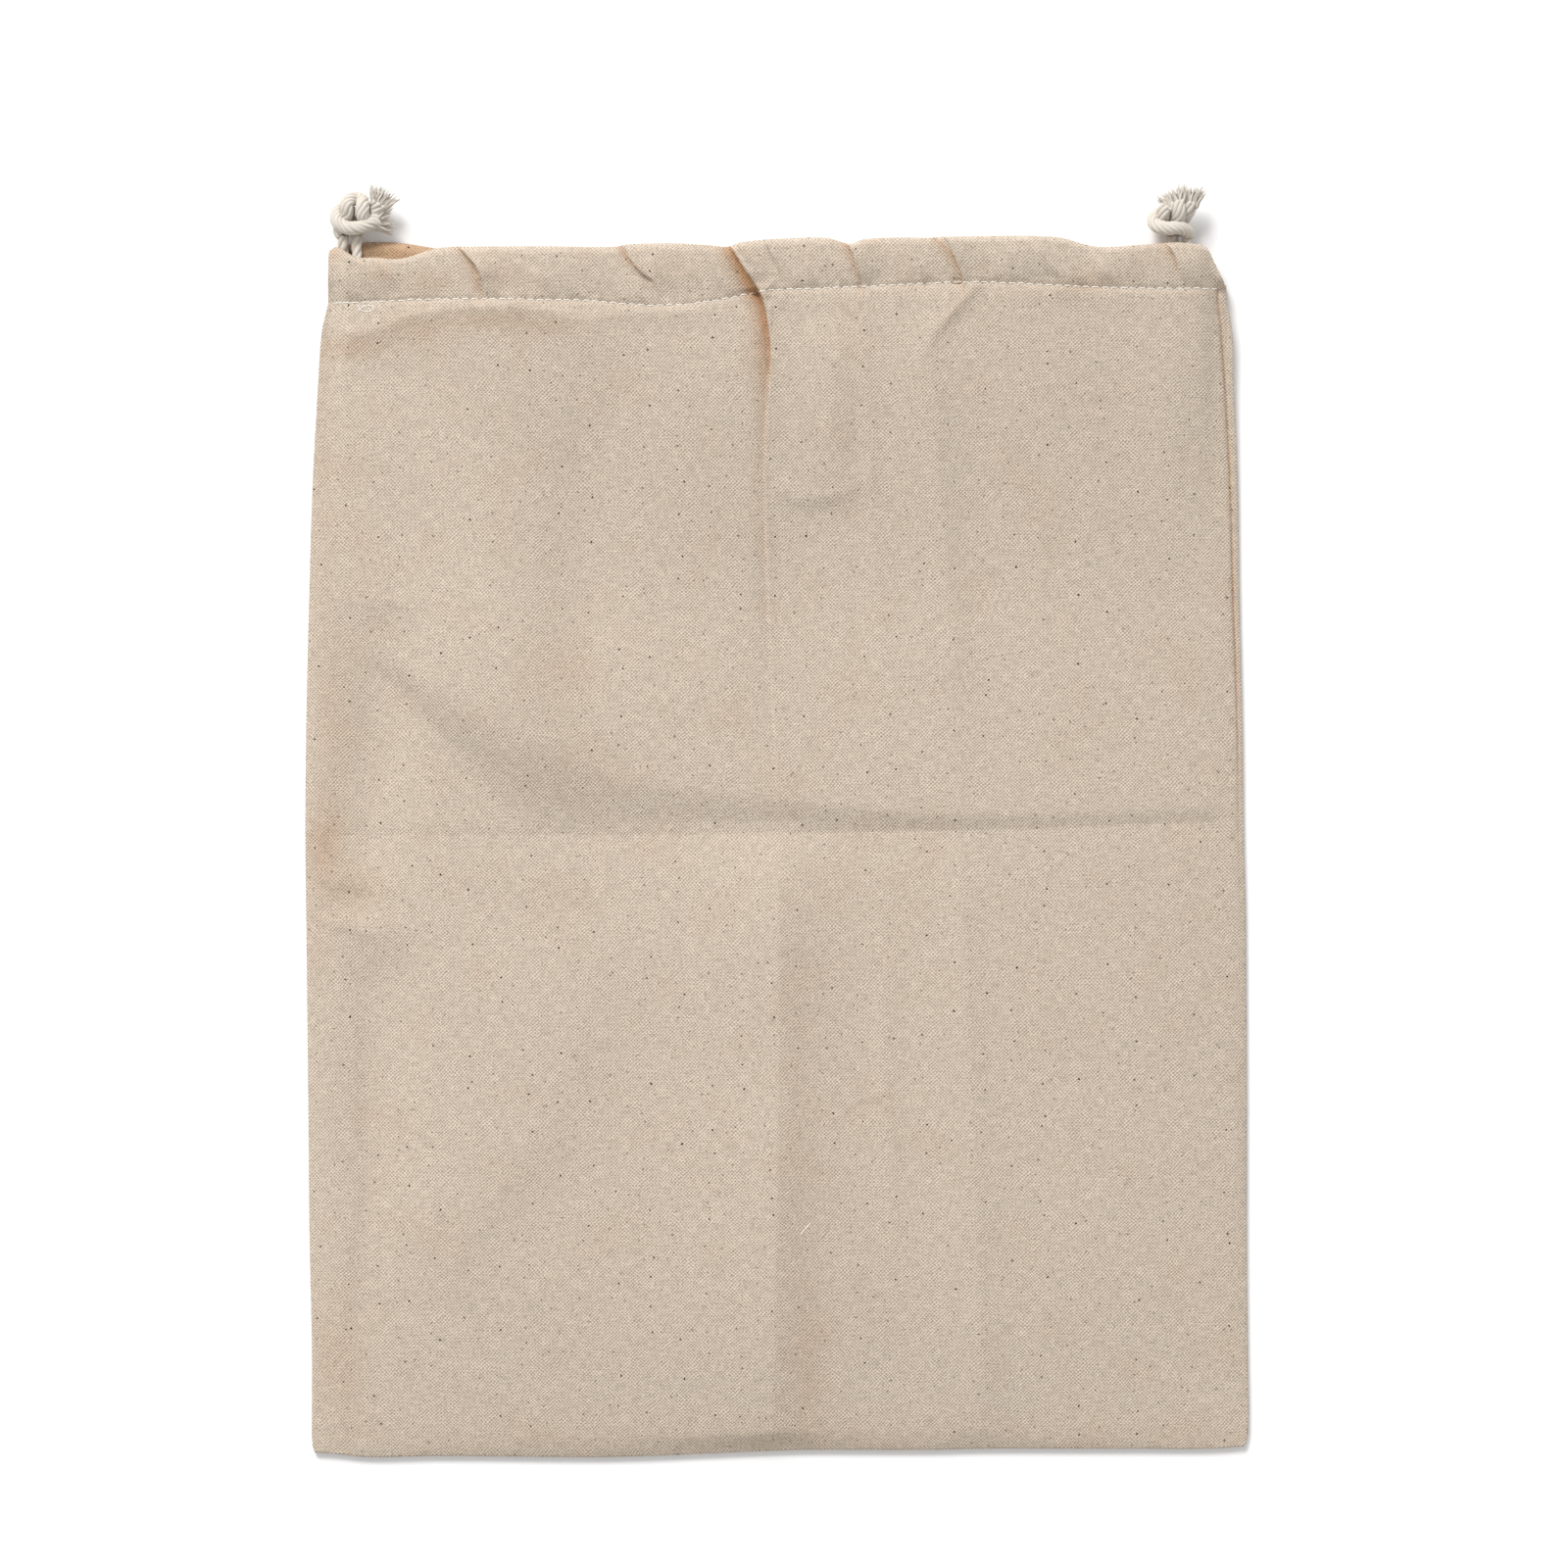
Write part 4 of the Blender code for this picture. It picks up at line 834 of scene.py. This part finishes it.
class BAG_OT_body_cloth(bpy.types.Operator):
    """Make the body: the front in full detail, rolled under at its edges onto the back"""

    bl_idname = "bag.body_cloth"
    bl_label = "Body cloth"

    def execute(self, context):
        cloth = context.scene.bag_cloth
        x, y = body_grid()
        z = body_front_z(x, y)
        painted_shade = fold_shade_share(x, y)
        heights = height_share_at(y)
        # Painted shade in the groove along the right side, where the front rolls under to meet the back, added to the
        # fold shade and the shade patches
        groove = np.exp(-np.abs(x - line_x(heights, GROOVE)) / 0.0005) * ease((heights - 0.40) / 0.30)
        painted_shade = np.maximum(painted_shade, 0.55 * groove) + painted_shade_patches(x, y)
        front = np.stack((x, y, z), axis=-1)
        tuck = front[-1:] + np.array((0.0, 0.0016, -0.0007))
        front = np.concatenate((front, tuck))
        painted_shade = np.concatenate((painted_shade, painted_shade[-1:]))
        under = front[:1] * np.array((1.0, 1.0, 0.0)) + np.array((0.0, 0.0012, 0.0001))
        nose = front[:1] * np.array((1.0, 1.0, 0.0)) + np.array((0.0, -0.0003, SEAM_EDGE / 2))
        front = np.concatenate((under, nose, front))
        painted_shade = np.concatenate((painted_shade[:1], painted_shade[:1], painted_shade))
        sides = []
        for edge, way in ((0, 1), (-1, -1)):
            column = front[:, edge:edge + 1 or None]
            rim = column * np.array((1.0, 1.0, 0.0)) + np.array((-0.0002 * way, 0.0, SEAM_EDGE / 2))
            below = column * np.array((1.0, 1.0, 0.0)) + np.array((0.0014 * way, 0.0, 0.0001))
            sides.append((below, rim) if way > 0 else (rim, below))
        front = np.concatenate((*sides[0], front, *sides[1]), axis=1)
        painted_shade = np.pad(painted_shade, ((0, 0), (2, 2)), mode="edge")
        faces = grid_faces(*front.shape[:2])
        rows = np.linspace(2, front.shape[0] - 2, 70).astype(int)
        columns = np.linspace(3, front.shape[1] - 4, 60).astype(int)
        back = front[np.ix_(rows, columns)].copy()
        ripple = 0.00016 * (1 + soft_waves(back[..., 0], back[..., 1], 21, 0.02, 0.08, 12).clip(-1, 1))
        back[..., 2] = ripple
        start = front.shape[0] * front.shape[1]
        faces += [face[::-1] for face in grid_faces(*back.shape[:2], start=start)]
        points = np.concatenate((front.reshape(-1, 3), back.reshape(-1, 3)))
        tint = np.concatenate((painted_shade.ravel(), np.zeros(back.shape[0] * back.shape[1])))
        material = woven_cotton("unbleached cotton muslin", cloth.colour, cloth.fold_shade_colour)
        piece = make_piece("body_cloth", points, faces, material, tint)
        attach(piece, "root")
        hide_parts("bag_body")
        return {"FINISHED"}


def casing_half(way):
    """Half the height of a casing's section, from the stitch line over the cords to the fold."""
    full = TUNNEL_HEIGHT / 2 - STITCHED_HALF
    flat = STITCHED_HALF + full * curve_at(CASING_SECTION, 1, way)
    round_off = np.clip((way - CASING_SHOULDER) / (1 - CASING_SHOULDER), 0, 1)
    return flat * np.sqrt(1 - round_off ** 2)


def casing_shell(front, columns, outer_steps, inner_steps):
    """Points of a casing, as rings round its section, and each point's share of painted shade."""
    drop_column = FRONT_DROP if front else BACK_DROP
    at = np.linspace(0, len(CASING_LINES) - 1, 400)
    spread = np.interp(at, np.arange(len(CASING_LINES)), CASING_LINES[:, 0])
    mouth = np.linspace(spread[0], spread[-1], columns)
    seam = curve_at(CASING_LINES[:, :2], 1, mouth)
    outer_way = 1 - (1 - np.linspace(0, 1, outer_steps)) ** 1.35
    inner_way = np.linspace(1, 0, inner_steps + 1)[1:]
    rings = []
    tints = []
    for way, side in [(w, 1) for w in outer_way] + [(w, -1) for w in inner_way]:
        x = HALF_WIDTH * mix(seam, mouth, way)
        if (side < 0) == front:
            along = np.clip((x - CASING_LEFT) / (CASING_RIGHT - CASING_LEFT), 0, 1)
            cut = ease((1 - way) * 6)
            left_stop = CASING_LEFT + left_way_out() - (0 if front else NECK_SPACING)
            short = mix(left_stop, CASING_RIGHT - right_way_out(), along)
            x = mix(x, short, cut)
        y = casing_y(x, way, drop_column)
        half = casing_half(way)
        if front:
            middle = mix(stitched_height(x), corner_height(x), ease(way / 0.55))
            z = middle + side * half
            if side > 0:
                lowest = mix(-0.0015, -0.0002, float(ease(way / 0.12)))
                relief = np.maximum(cloth_relief(x, y), lowest)
                z = z + relief * math.cos(0.5 * math.pi * max(0.0, way - 0.9) / 0.1) ** 0.5
        else:
            z = np.full_like(x, half + side * half)
        rings.append(np.stack((x, y, z), axis=-1))
        # Painted shade: the front casing gets it from its folds and patches; the back casing is painted about a third
        # of the way to the mouth's shade colour, and fully within 30 mm of its ends
        painted_shade = np.clip(fold_shade_share(x, y) + painted_shade_patches(x, y), 0, 1)
        near_end = np.minimum(x - CASING_LEFT, CASING_RIGHT - x)
        tints.append(painted_shade if front else 0.35 + 0.65 * (1 - ease((near_end - 0.030) / 0.030)))
    return np.stack(rings, axis=1), np.stack(tints, axis=1)


class BAG_OT_casings(bpy.types.Operator):
    """Make both casings: the cloth folded over the cords and sewn down, gathered where the cords pull"""

    bl_idname = "bag.casings"
    bl_label = "Casings"

    def execute(self, context):
        cloth = context.scene.bag_cloth
        material = woven_cotton("folded cotton muslin", cloth.colour, cloth.fold_shade_colour)
        # The back casing's cloth, painted towards the mouth's shade colour as painted shade
        shaded = woven_cotton("shaded cotton muslin", cloth.colour, cloth.mouth_shade_colour)
        for name, node, front, columns, outer_steps, inner_steps, finish in (
                ("front_casing_cloth", "front_casing", True, 760, 60, 14, material),
                ("back_casing_cloth", "back_casing", False, 300, 30, 14, shaded)):
            points, tint = casing_shell(front, columns, outer_steps, inner_steps)
            faces = grid_faces(*points.shape[:2], closed=True)
            if not front:
                faces = [face[::-1] for face in faces]
            piece = make_piece(name, points, faces, finish, tint)
            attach(piece, "root")
            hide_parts(node)
        return {"FINISHED"}


def frames_along(path):
    """Unit vectors along a path and two across it, carried along without twist."""
    along = np.gradient(path, axis=0)
    along /= np.linalg.norm(along, axis=1, keepdims=True)
    start = np.cross(along[0], (0.0, 0.0, 1.0))
    if np.linalg.norm(start) < 0.1:
        start = np.cross(along[0], (1.0, 0.0, 0.0))
    sides = [start / np.linalg.norm(start)]
    for direction in along[1:]:
        side = sides[-1] - direction * np.dot(sides[-1], direction)
        sides.append(side / np.linalg.norm(side))
    side = np.array(sides)
    return along, side, np.cross(along, side)


def tube(path, radii, sides):
    """Points, faces and layout of a round tube along a path, with closed ends. The layout is in mm."""
    path = np.asarray(path)
    radii = np.broadcast_to(radii, len(path))
    _, side, over = frames_along(path)
    angles = np.linspace(0, math.tau, sides, endpoint=False)
    rings = (path[:, None] + radii[:, None, None]
             * (side[:, None] * np.cos(angles)[:, None] + over[:, None] * np.sin(angles)[:, None]))
    points = rings.reshape(-1, 3)
    faces = grid_faces(len(path), sides, closed=True)
    faces.append(list(range(sides))[::-1])
    faces.append(list(range(len(points) - sides, len(points))))
    run = np.concatenate(([0.0], np.cumsum(np.linalg.norm(np.diff(path, axis=0), axis=1)))) / MM
    around = np.abs(angles - math.pi) / math.tau * 2 * math.pi * np.mean(radii) / MM
    layout = np.stack(np.broadcast_arrays(around[None, :], run[:, None]), axis=-1).reshape(-1, 2)
    return points, faces, layout


def joined(parts):
    """Several lots of points, faces and layout as one."""
    points = []
    faces = []
    layouts = []
    count = 0
    for number, (part_points, part_faces, layout) in enumerate(parts):
        points.append(part_points)
        faces.extend([[index + count for index in face] for face in part_faces])
        layouts.append(layout + np.array((7.3 * number, 11.7 * number)))
        count += len(part_points)
    return np.concatenate(points), faces, np.concatenate(layouts)


def smooth_path(points, step):
    """A smooth curve through points, with places a step apart."""
    points = np.asarray(points, float)
    padded = np.concatenate((2 * points[:1] - points[1:2], points, 2 * points[-1:] - points[-2:-1]))
    fine = []
    for place in range(1, len(padded) - 2):
        before, start, end, after = padded[place - 1:place + 3]
        share = np.linspace(0, 1, 24, endpoint=False)[:, None]
        fine.append(0.5 * (2 * start + (end - before) * share + (2 * before - 5 * start + 4 * end - after)
                           * share ** 2 + (3 * start - before - 3 * end + after) * share ** 3))
    fine = np.concatenate(fine + [points[-1:]])
    run = np.concatenate(([0.0], np.cumsum(np.linalg.norm(np.diff(fine, axis=0), axis=1))))
    places = np.linspace(0, run[-1], max(4, round(run[-1] / step)))
    return np.stack([np.interp(places, run, fine[:, axis]) for axis in range(3)], axis=-1)


def laid_cord(path, radius, plies, lay_length, sides, seed, spread_end=0.0):
    """The plies of a cord, each a tube that turns round the path. They open at the far end by spread_end."""
    _, side, over = frames_along(path)
    step = np.linalg.norm(np.diff(path, axis=0), axis=1)
    run = np.concatenate(([0.0], np.cumsum(step)))
    rng = np.random.default_rng(seed)
    parts = []
    ply_radius = radius * {3: 0.53, 4: 0.47, 7: 0.34}[plies]
    opening = ease(1 - (run[-1] - run) / 0.006) * spread_end
    for ply in range(plies):
        turn = math.tau * (run / lay_length + ply / plies) + 0.12 * np.sin(run / 0.004 + rng.uniform(0, 6))
        away = (radius - ply_radius) * (1 + opening)
        centre = path + away[:, None] * (side * np.cos(turn)[:, None] + over * np.sin(turn)[:, None])
        swell = 1 + 0.06 * np.sin(run / 0.0031 + rng.uniform(0, 6)) + 0.04 * np.sin(run / 0.0013 + rng.uniform(0, 6))
        parts.append(tube(centre, ply_radius * swell, sides))
    return parts


def frayed_end(path, radius, length, seed):
    """Loose yarns and fibres at a cord's end. The yarns hang together in a few fingers that spread like a fan."""
    rng = np.random.default_rng(seed)
    _, side, over = frames_along(path)
    end = path[-1]
    way = path[-1] - path[-6]
    way /= np.linalg.norm(way)
    flat = np.cross(way, (0.0, 0.0, 1.0))
    flat /= np.linalg.norm(flat)
    fingers = 5
    parts = []
    for number in range(150):
        yarn = number < 70
        finger = number % fingers
        spread = (finger - (fingers - 1) / 2) / ((fingers - 1) / 2)
        start = end + radius * (0.70 * spread * flat + rng.normal(0, 0.16) * flat)
        start = start + radius * rng.uniform(-0.6, 0.6) * np.array((0.0, 0.0, 1.0)) - 0.0022 * way
        lean = 0.50 * spread * flat + rng.normal(0, 0.07 if yarn else 0.16, 3)
        reach = length * (1 - 0.12 * spread ** 2) * rng.uniform(0.72, 1.02)
        share = np.linspace(0, 1, 9)[:, None]
        curl = rng.normal(0, 0.07, 3) * reach
        wave = 0.00014 * np.sin(share * rng.uniform(5, 11) + rng.uniform(0, 6)) * flat
        line = start + share * reach * (way + lean) + curl * share ** 2 + wave
        line[:, 2] = np.maximum(line[:, 2], 0.0006)
        thick = (0.00042 if yarn else 0.00008) * rng.uniform(0.8, 1.2)
        radii = thick * (1 - 0.75 * share[:, 0] ** 3)
        parts.append(tube(line, radii, 6 if yarn else 4))
    return parts


def neck_x(side):
    """Middle between both ends of a cord at their way out."""
    outer = CASING_LEFT + LEFT_OUTER_NECK if side < 0 else CASING_RIGHT - RIGHT_OUTER_NECK
    return outer - side * NECK_SPACING / 2


def neck_y(side):
    """Where the cords end and their knot begins."""
    return TOP_Y + NECK_LENGTH - (0.0016 if side < 0 else 0.0020)


def bend_out(x_neck, way, side, front):
    """The quarter turn from a casing out of its corner, ending at the neck."""
    start_x = x_neck - side * CORD_BEND_RADIUS
    z_start = float(mouth_height(start_x)) if front else BACK_CORD_Z
    y = float(casing_y(start_x, way, FRONT_DROP if front else BACK_DROP))
    turns = np.linspace(math.pi / 10, math.pi / 2, 5)
    points = [(start_x + side * CORD_BEND_RADIUS * math.sin(turn),
               y + CORD_BEND_RADIUS * (1 - math.cos(turn)), z_start) for turn in turns]
    low = points[-1][1]
    points += [(x_neck, mix(low, neck_y(side), share / 3), z_start) for share in (1, 2, 3)]
    return [(px, py, float(mix(z_start, KNOT_Z, ease((number + 1) / len(points)))))
            for number, (px, py, _) in enumerate(points)]


def drawstring_path(side, way):
    """One cord's line: from its knot through the front casing, round the far corner and back."""
    rise = (float(mouth_height(HALF_WIDTH)) - BACK_CORD_Z) / 2
    outer_neck = CASING_LEFT + LEFT_OUTER_NECK if side < 0 else CASING_RIGHT - RIGHT_OUTER_NECK
    far_turn = CASING_RIGHT - right_way_out() + WAY_OUT_MARGIN if side < 0 else CASING_LEFT + LEFT_TURN + rise
    inner_neck = outer_neck - side * NECK_SPACING
    points = bend_out(inner_neck, way, side, True)[::-1]
    for start, end, front in ((inner_neck - side * CORD_BEND_RADIUS, far_turn, True),
                              (far_turn, outer_neck - side * CORD_BEND_RADIUS, False)):
        count = max(2, round(abs(end - start) / 0.0126))
        for x in np.linspace(start, end, count + 1):
            z = float(mouth_height(x)) if front else BACK_CORD_Z
            points.append((x, float(casing_y(x, way, FRONT_DROP if front else BACK_DROP)), z))
        if front:
            top = float(mouth_height(far_turn))
            radius = (top - BACK_CORD_Z) / 2
            for share in np.arange(1, 8) / 8:
                angle = math.pi * share
                y = mix(casing_y(far_turn, way, FRONT_DROP), casing_y(far_turn, way, BACK_DROP), share)
                points.append((far_turn - side * radius * math.sin(angle), float(y),
                               BACK_CORD_Z + radius + radius * math.cos(angle)))
    return points + bend_out(outer_neck, way, side, False)


class BAG_OT_drawstrings(bpy.types.Operator):
    """Lay both cords through the casings, each in a loop round the mouth"""

    bl_idname = "bag.drawstrings"
    bl_label = "Drawstrings"

    def execute(self, context):
        cord = context.scene.bag_cord
        material = cotton_yarn("laid cotton cord", cord.colour)
        for name, node, side, way in (("left_cord", "left_drawstring", -1, UPPER_CORD),
                                      ("right_cord", "right_drawstring", 1, LOWER_CORD)):
            path = smooth_path(drawstring_path(side, way), 0.0012)
            plies = laid_cord(path, CORD_DIAMETER / 2, 3, cord.lay_length, 10, 31)
            points, faces, layout = joined(plies)
            piece = make_piece(name, points, faces, material, layout=layout)
            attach(piece, "root")
            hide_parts(node)
        return {"FINISHED"}


class BAG_OT_knots(bpy.types.Operator):
    """Tie both overhand knots, with their loose plies and frayed ends"""

    bl_idname = "bag.knots"
    bl_label = "Knots"

    def execute(self, context):
        cord = context.scene.bag_cord
        material = cotton_yarn("knotted cotton cord", cord.colour)
        for name, node, side, strands in (("left_knotted_cord", "left_knot", -1, LEFT_KNOT_STRANDS),
                                          ("right_knotted_cord", "right_knot", 1, RIGHT_KNOT_STRANDS)):
            base = np.array((neck_x(side), neck_y(side), KNOT_Z))
            parts = []
            for number, strand in enumerate(strands):
                path = smooth_path(base + np.array(strand) * MM, 0.0005)
                seed = 40 + 10 * side + number
                parts += laid_cord(path, KNOT_CORD_DIAMETER / 2, 7, cord.lay_length, 10, seed, 0.3)
                parts += frayed_end(path, KNOT_CORD_DIAMETER / 2, cord.fray_length, seed)
            points, faces, layout = joined(parts)
            points[:, 2] = np.maximum(points[:, 2], 0.0002)
            piece = make_piece(name, points, faces, material, layout=layout)
            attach(piece, "root")
            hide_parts(node)
        return {"FINISHED"}


class BAG_OT_stitches(bpy.types.Operator):
    """Sew the casing down with a line of straight stitches"""

    bl_idname = "bag.stitches"
    bl_label = "Stitches"

    def execute(self, context):
        sewing = context.scene.bag_stitches
        rng = np.random.default_rng(3)
        starts = np.arange(-0.1680, 0.1665, sewing.pitch)
        parts = []
        for start in starts:
            slip = rng.normal(0, 0.00012)
            length = sewing.length if start > -0.1535 else 0.94 * sewing.pitch
            x = np.linspace(0, 1, 7) * length * rng.uniform(0.92, 1.06) + start + slip
            y = stitch_y(x) + rng.normal(0, 0.00008)
            arch = np.sin(np.linspace(0, math.pi, 7))
            z = body_front_z(x, stitch_y(x)) - 0.00018 + 0.00034 * arch
            parts.append(tube(np.stack((x, y, z), axis=-1), sewing.thickness / 2, 8))
        points, faces, layout = joined(parts)
        piece = make_piece("casing_stitches", points, faces, sewing_thread("bleached sewing thread",
                                                                           sewing.thread_colour), layout=layout)
        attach(piece, "root")
        return {"FINISHED"}


class BAG_OT_loose_threads(bpy.types.Operator):
    """Leave two bits of loose thread on the cloth"""

    bl_idname = "bag.loose_threads"
    bl_label = "Loose threads"

    def execute(self, context):
        sewing = context.scene.bag_stitches
        material = sewing_thread("loose sewing thread", sewing.thread_colour)
        for name, places in (
                ("thread_loop", ((-158.6, 203.6), (-157.6, 201.7), (-155.2, 200.9), (-152.9, 201.6),
                                 (-152.8, 202.9), (-155.0, 203.2), (-157.2, 202.4), (-158.4, 200.9))),
                ("thread_bit", ((8.9, -148.2), (10.0, -146.6), (11.2, -145.4), (12.6, -143.9)))):
            path = smooth_path([(x * MM, y * MM, 0.0) for x, y in places], 0.0003)
            path[:, 2] = body_front_z(path[:, 0], path[:, 1]) + 0.00012
            points, faces, layout = tube(path, 0.00016, 8)
            piece = make_piece(name, points, faces, material, layout=layout)
            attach(piece, "root")
        return {"FINISHED"}


class BAG_OT_stage(bpy.types.Operator):
    """Set the pale floor, the soft light and the camera straight above the bag"""

    bl_idname = "bag.stage"
    bl_label = "Stage"

    def execute(self, context):
        stage = context.scene.bag_stage
        middle = Vector((0.0026, 0.02235, 0.0))
        corners = np.array([(-1.0, -1.0), (1.0, -1.0), (1.0, 1.0), (-1.0, 1.0)]) * 4.0
        points = [(x, y, -0.0002) for x, y in corners]
        floor = make_piece("floor", points, [[0, 1, 2, 3]], studio_floor("matt white board", stage.floor_colour))
        eye = bpy.data.cameras.new("camera")
        eye.sensor_width = 36.0
        eye.lens = eye.sensor_width * stage.camera_distance / stage.frame_width
        camera = bpy.data.objects.new("camera", eye)
        camera.location = middle + Vector((0.0, 0.0, stage.camera_distance))
        context.scene.collection.objects.link(camera)
        context.scene.camera = camera
        lamp = bpy.data.lights.new("key light", "AREA")
        lamp.shape = "SQUARE"
        lamp.size = 3.2
        lamp.energy = stage.key_power
        key = bpy.data.objects.new("key light", lamp)
        key.location = middle + Vector((-2.40, 5.55, 4.90))
        key.rotation_euler = (middle - key.location).to_track_quat("-Z", "Y").to_euler()
        context.scene.collection.objects.link(key)
        world = bpy.data.worlds.new("even light")
        world.use_nodes = True
        world.node_tree.nodes["Background"].inputs["Color"].default_value = (1.0, 1.0, 1.0, 1.0)
        world.node_tree.nodes["Background"].inputs["Strength"].default_value = stage.fill
        context.scene.world = world
        context.scene.view_settings.view_transform = "Standard"
        return {"FINISHED"}


OPERATORS = (BAG_OT_stage, BAG_OT_drawstrings, BAG_OT_knots, BAG_OT_body_cloth, BAG_OT_casings, BAG_OT_stitches,
             BAG_OT_loose_threads)
SETTINGS = (("bag_cloth", ClothSettings), ("bag_stitches", StitchSettings), ("bag_cord", CordSettings),
            ("bag_stage", StageSettings))


class BAG_PT_looks(bpy.types.Panel):
    """Steps and settings of the bag's looks"""

    bl_idname = "BAG_PT_looks"
    bl_label = "Drawstring bag"
    bl_space_type = "VIEW_3D"
    bl_region_type = "UI"
    bl_category = "Bag"

    def draw(self, context):
        for step in OPERATORS:
            self.layout.operator(step.bl_idname)
        for name, group in SETTINGS:
            box = self.layout.box()
            for setting in group.__annotations__:
                box.prop(getattr(context.scene, name), setting)


def register():
    for name, group in SETTINGS:
        bpy.utils.register_class(group)
        setattr(bpy.types.Scene, name, bpy.props.PointerProperty(type=group))
    for step in OPERATORS + (BAG_PT_looks,):
        bpy.utils.register_class(step)


def unregister():
    for step in (BAG_PT_looks,) + OPERATORS[::-1]:
        bpy.utils.unregister_class(step)
    for name, group in SETTINGS[::-1]:
        delattr(bpy.types.Scene, name)
        bpy.utils.unregister_class(group)


def main():
    register()
    bpy.ops.bag.stage()
    bpy.ops.bag.drawstrings()
    bpy.ops.bag.knots()
    bpy.ops.bag.body_cloth()
    bpy.ops.bag.casings()
    bpy.ops.bag.stitches()
    bpy.ops.bag.loose_threads()


if __name__ == "__main__":
    main()
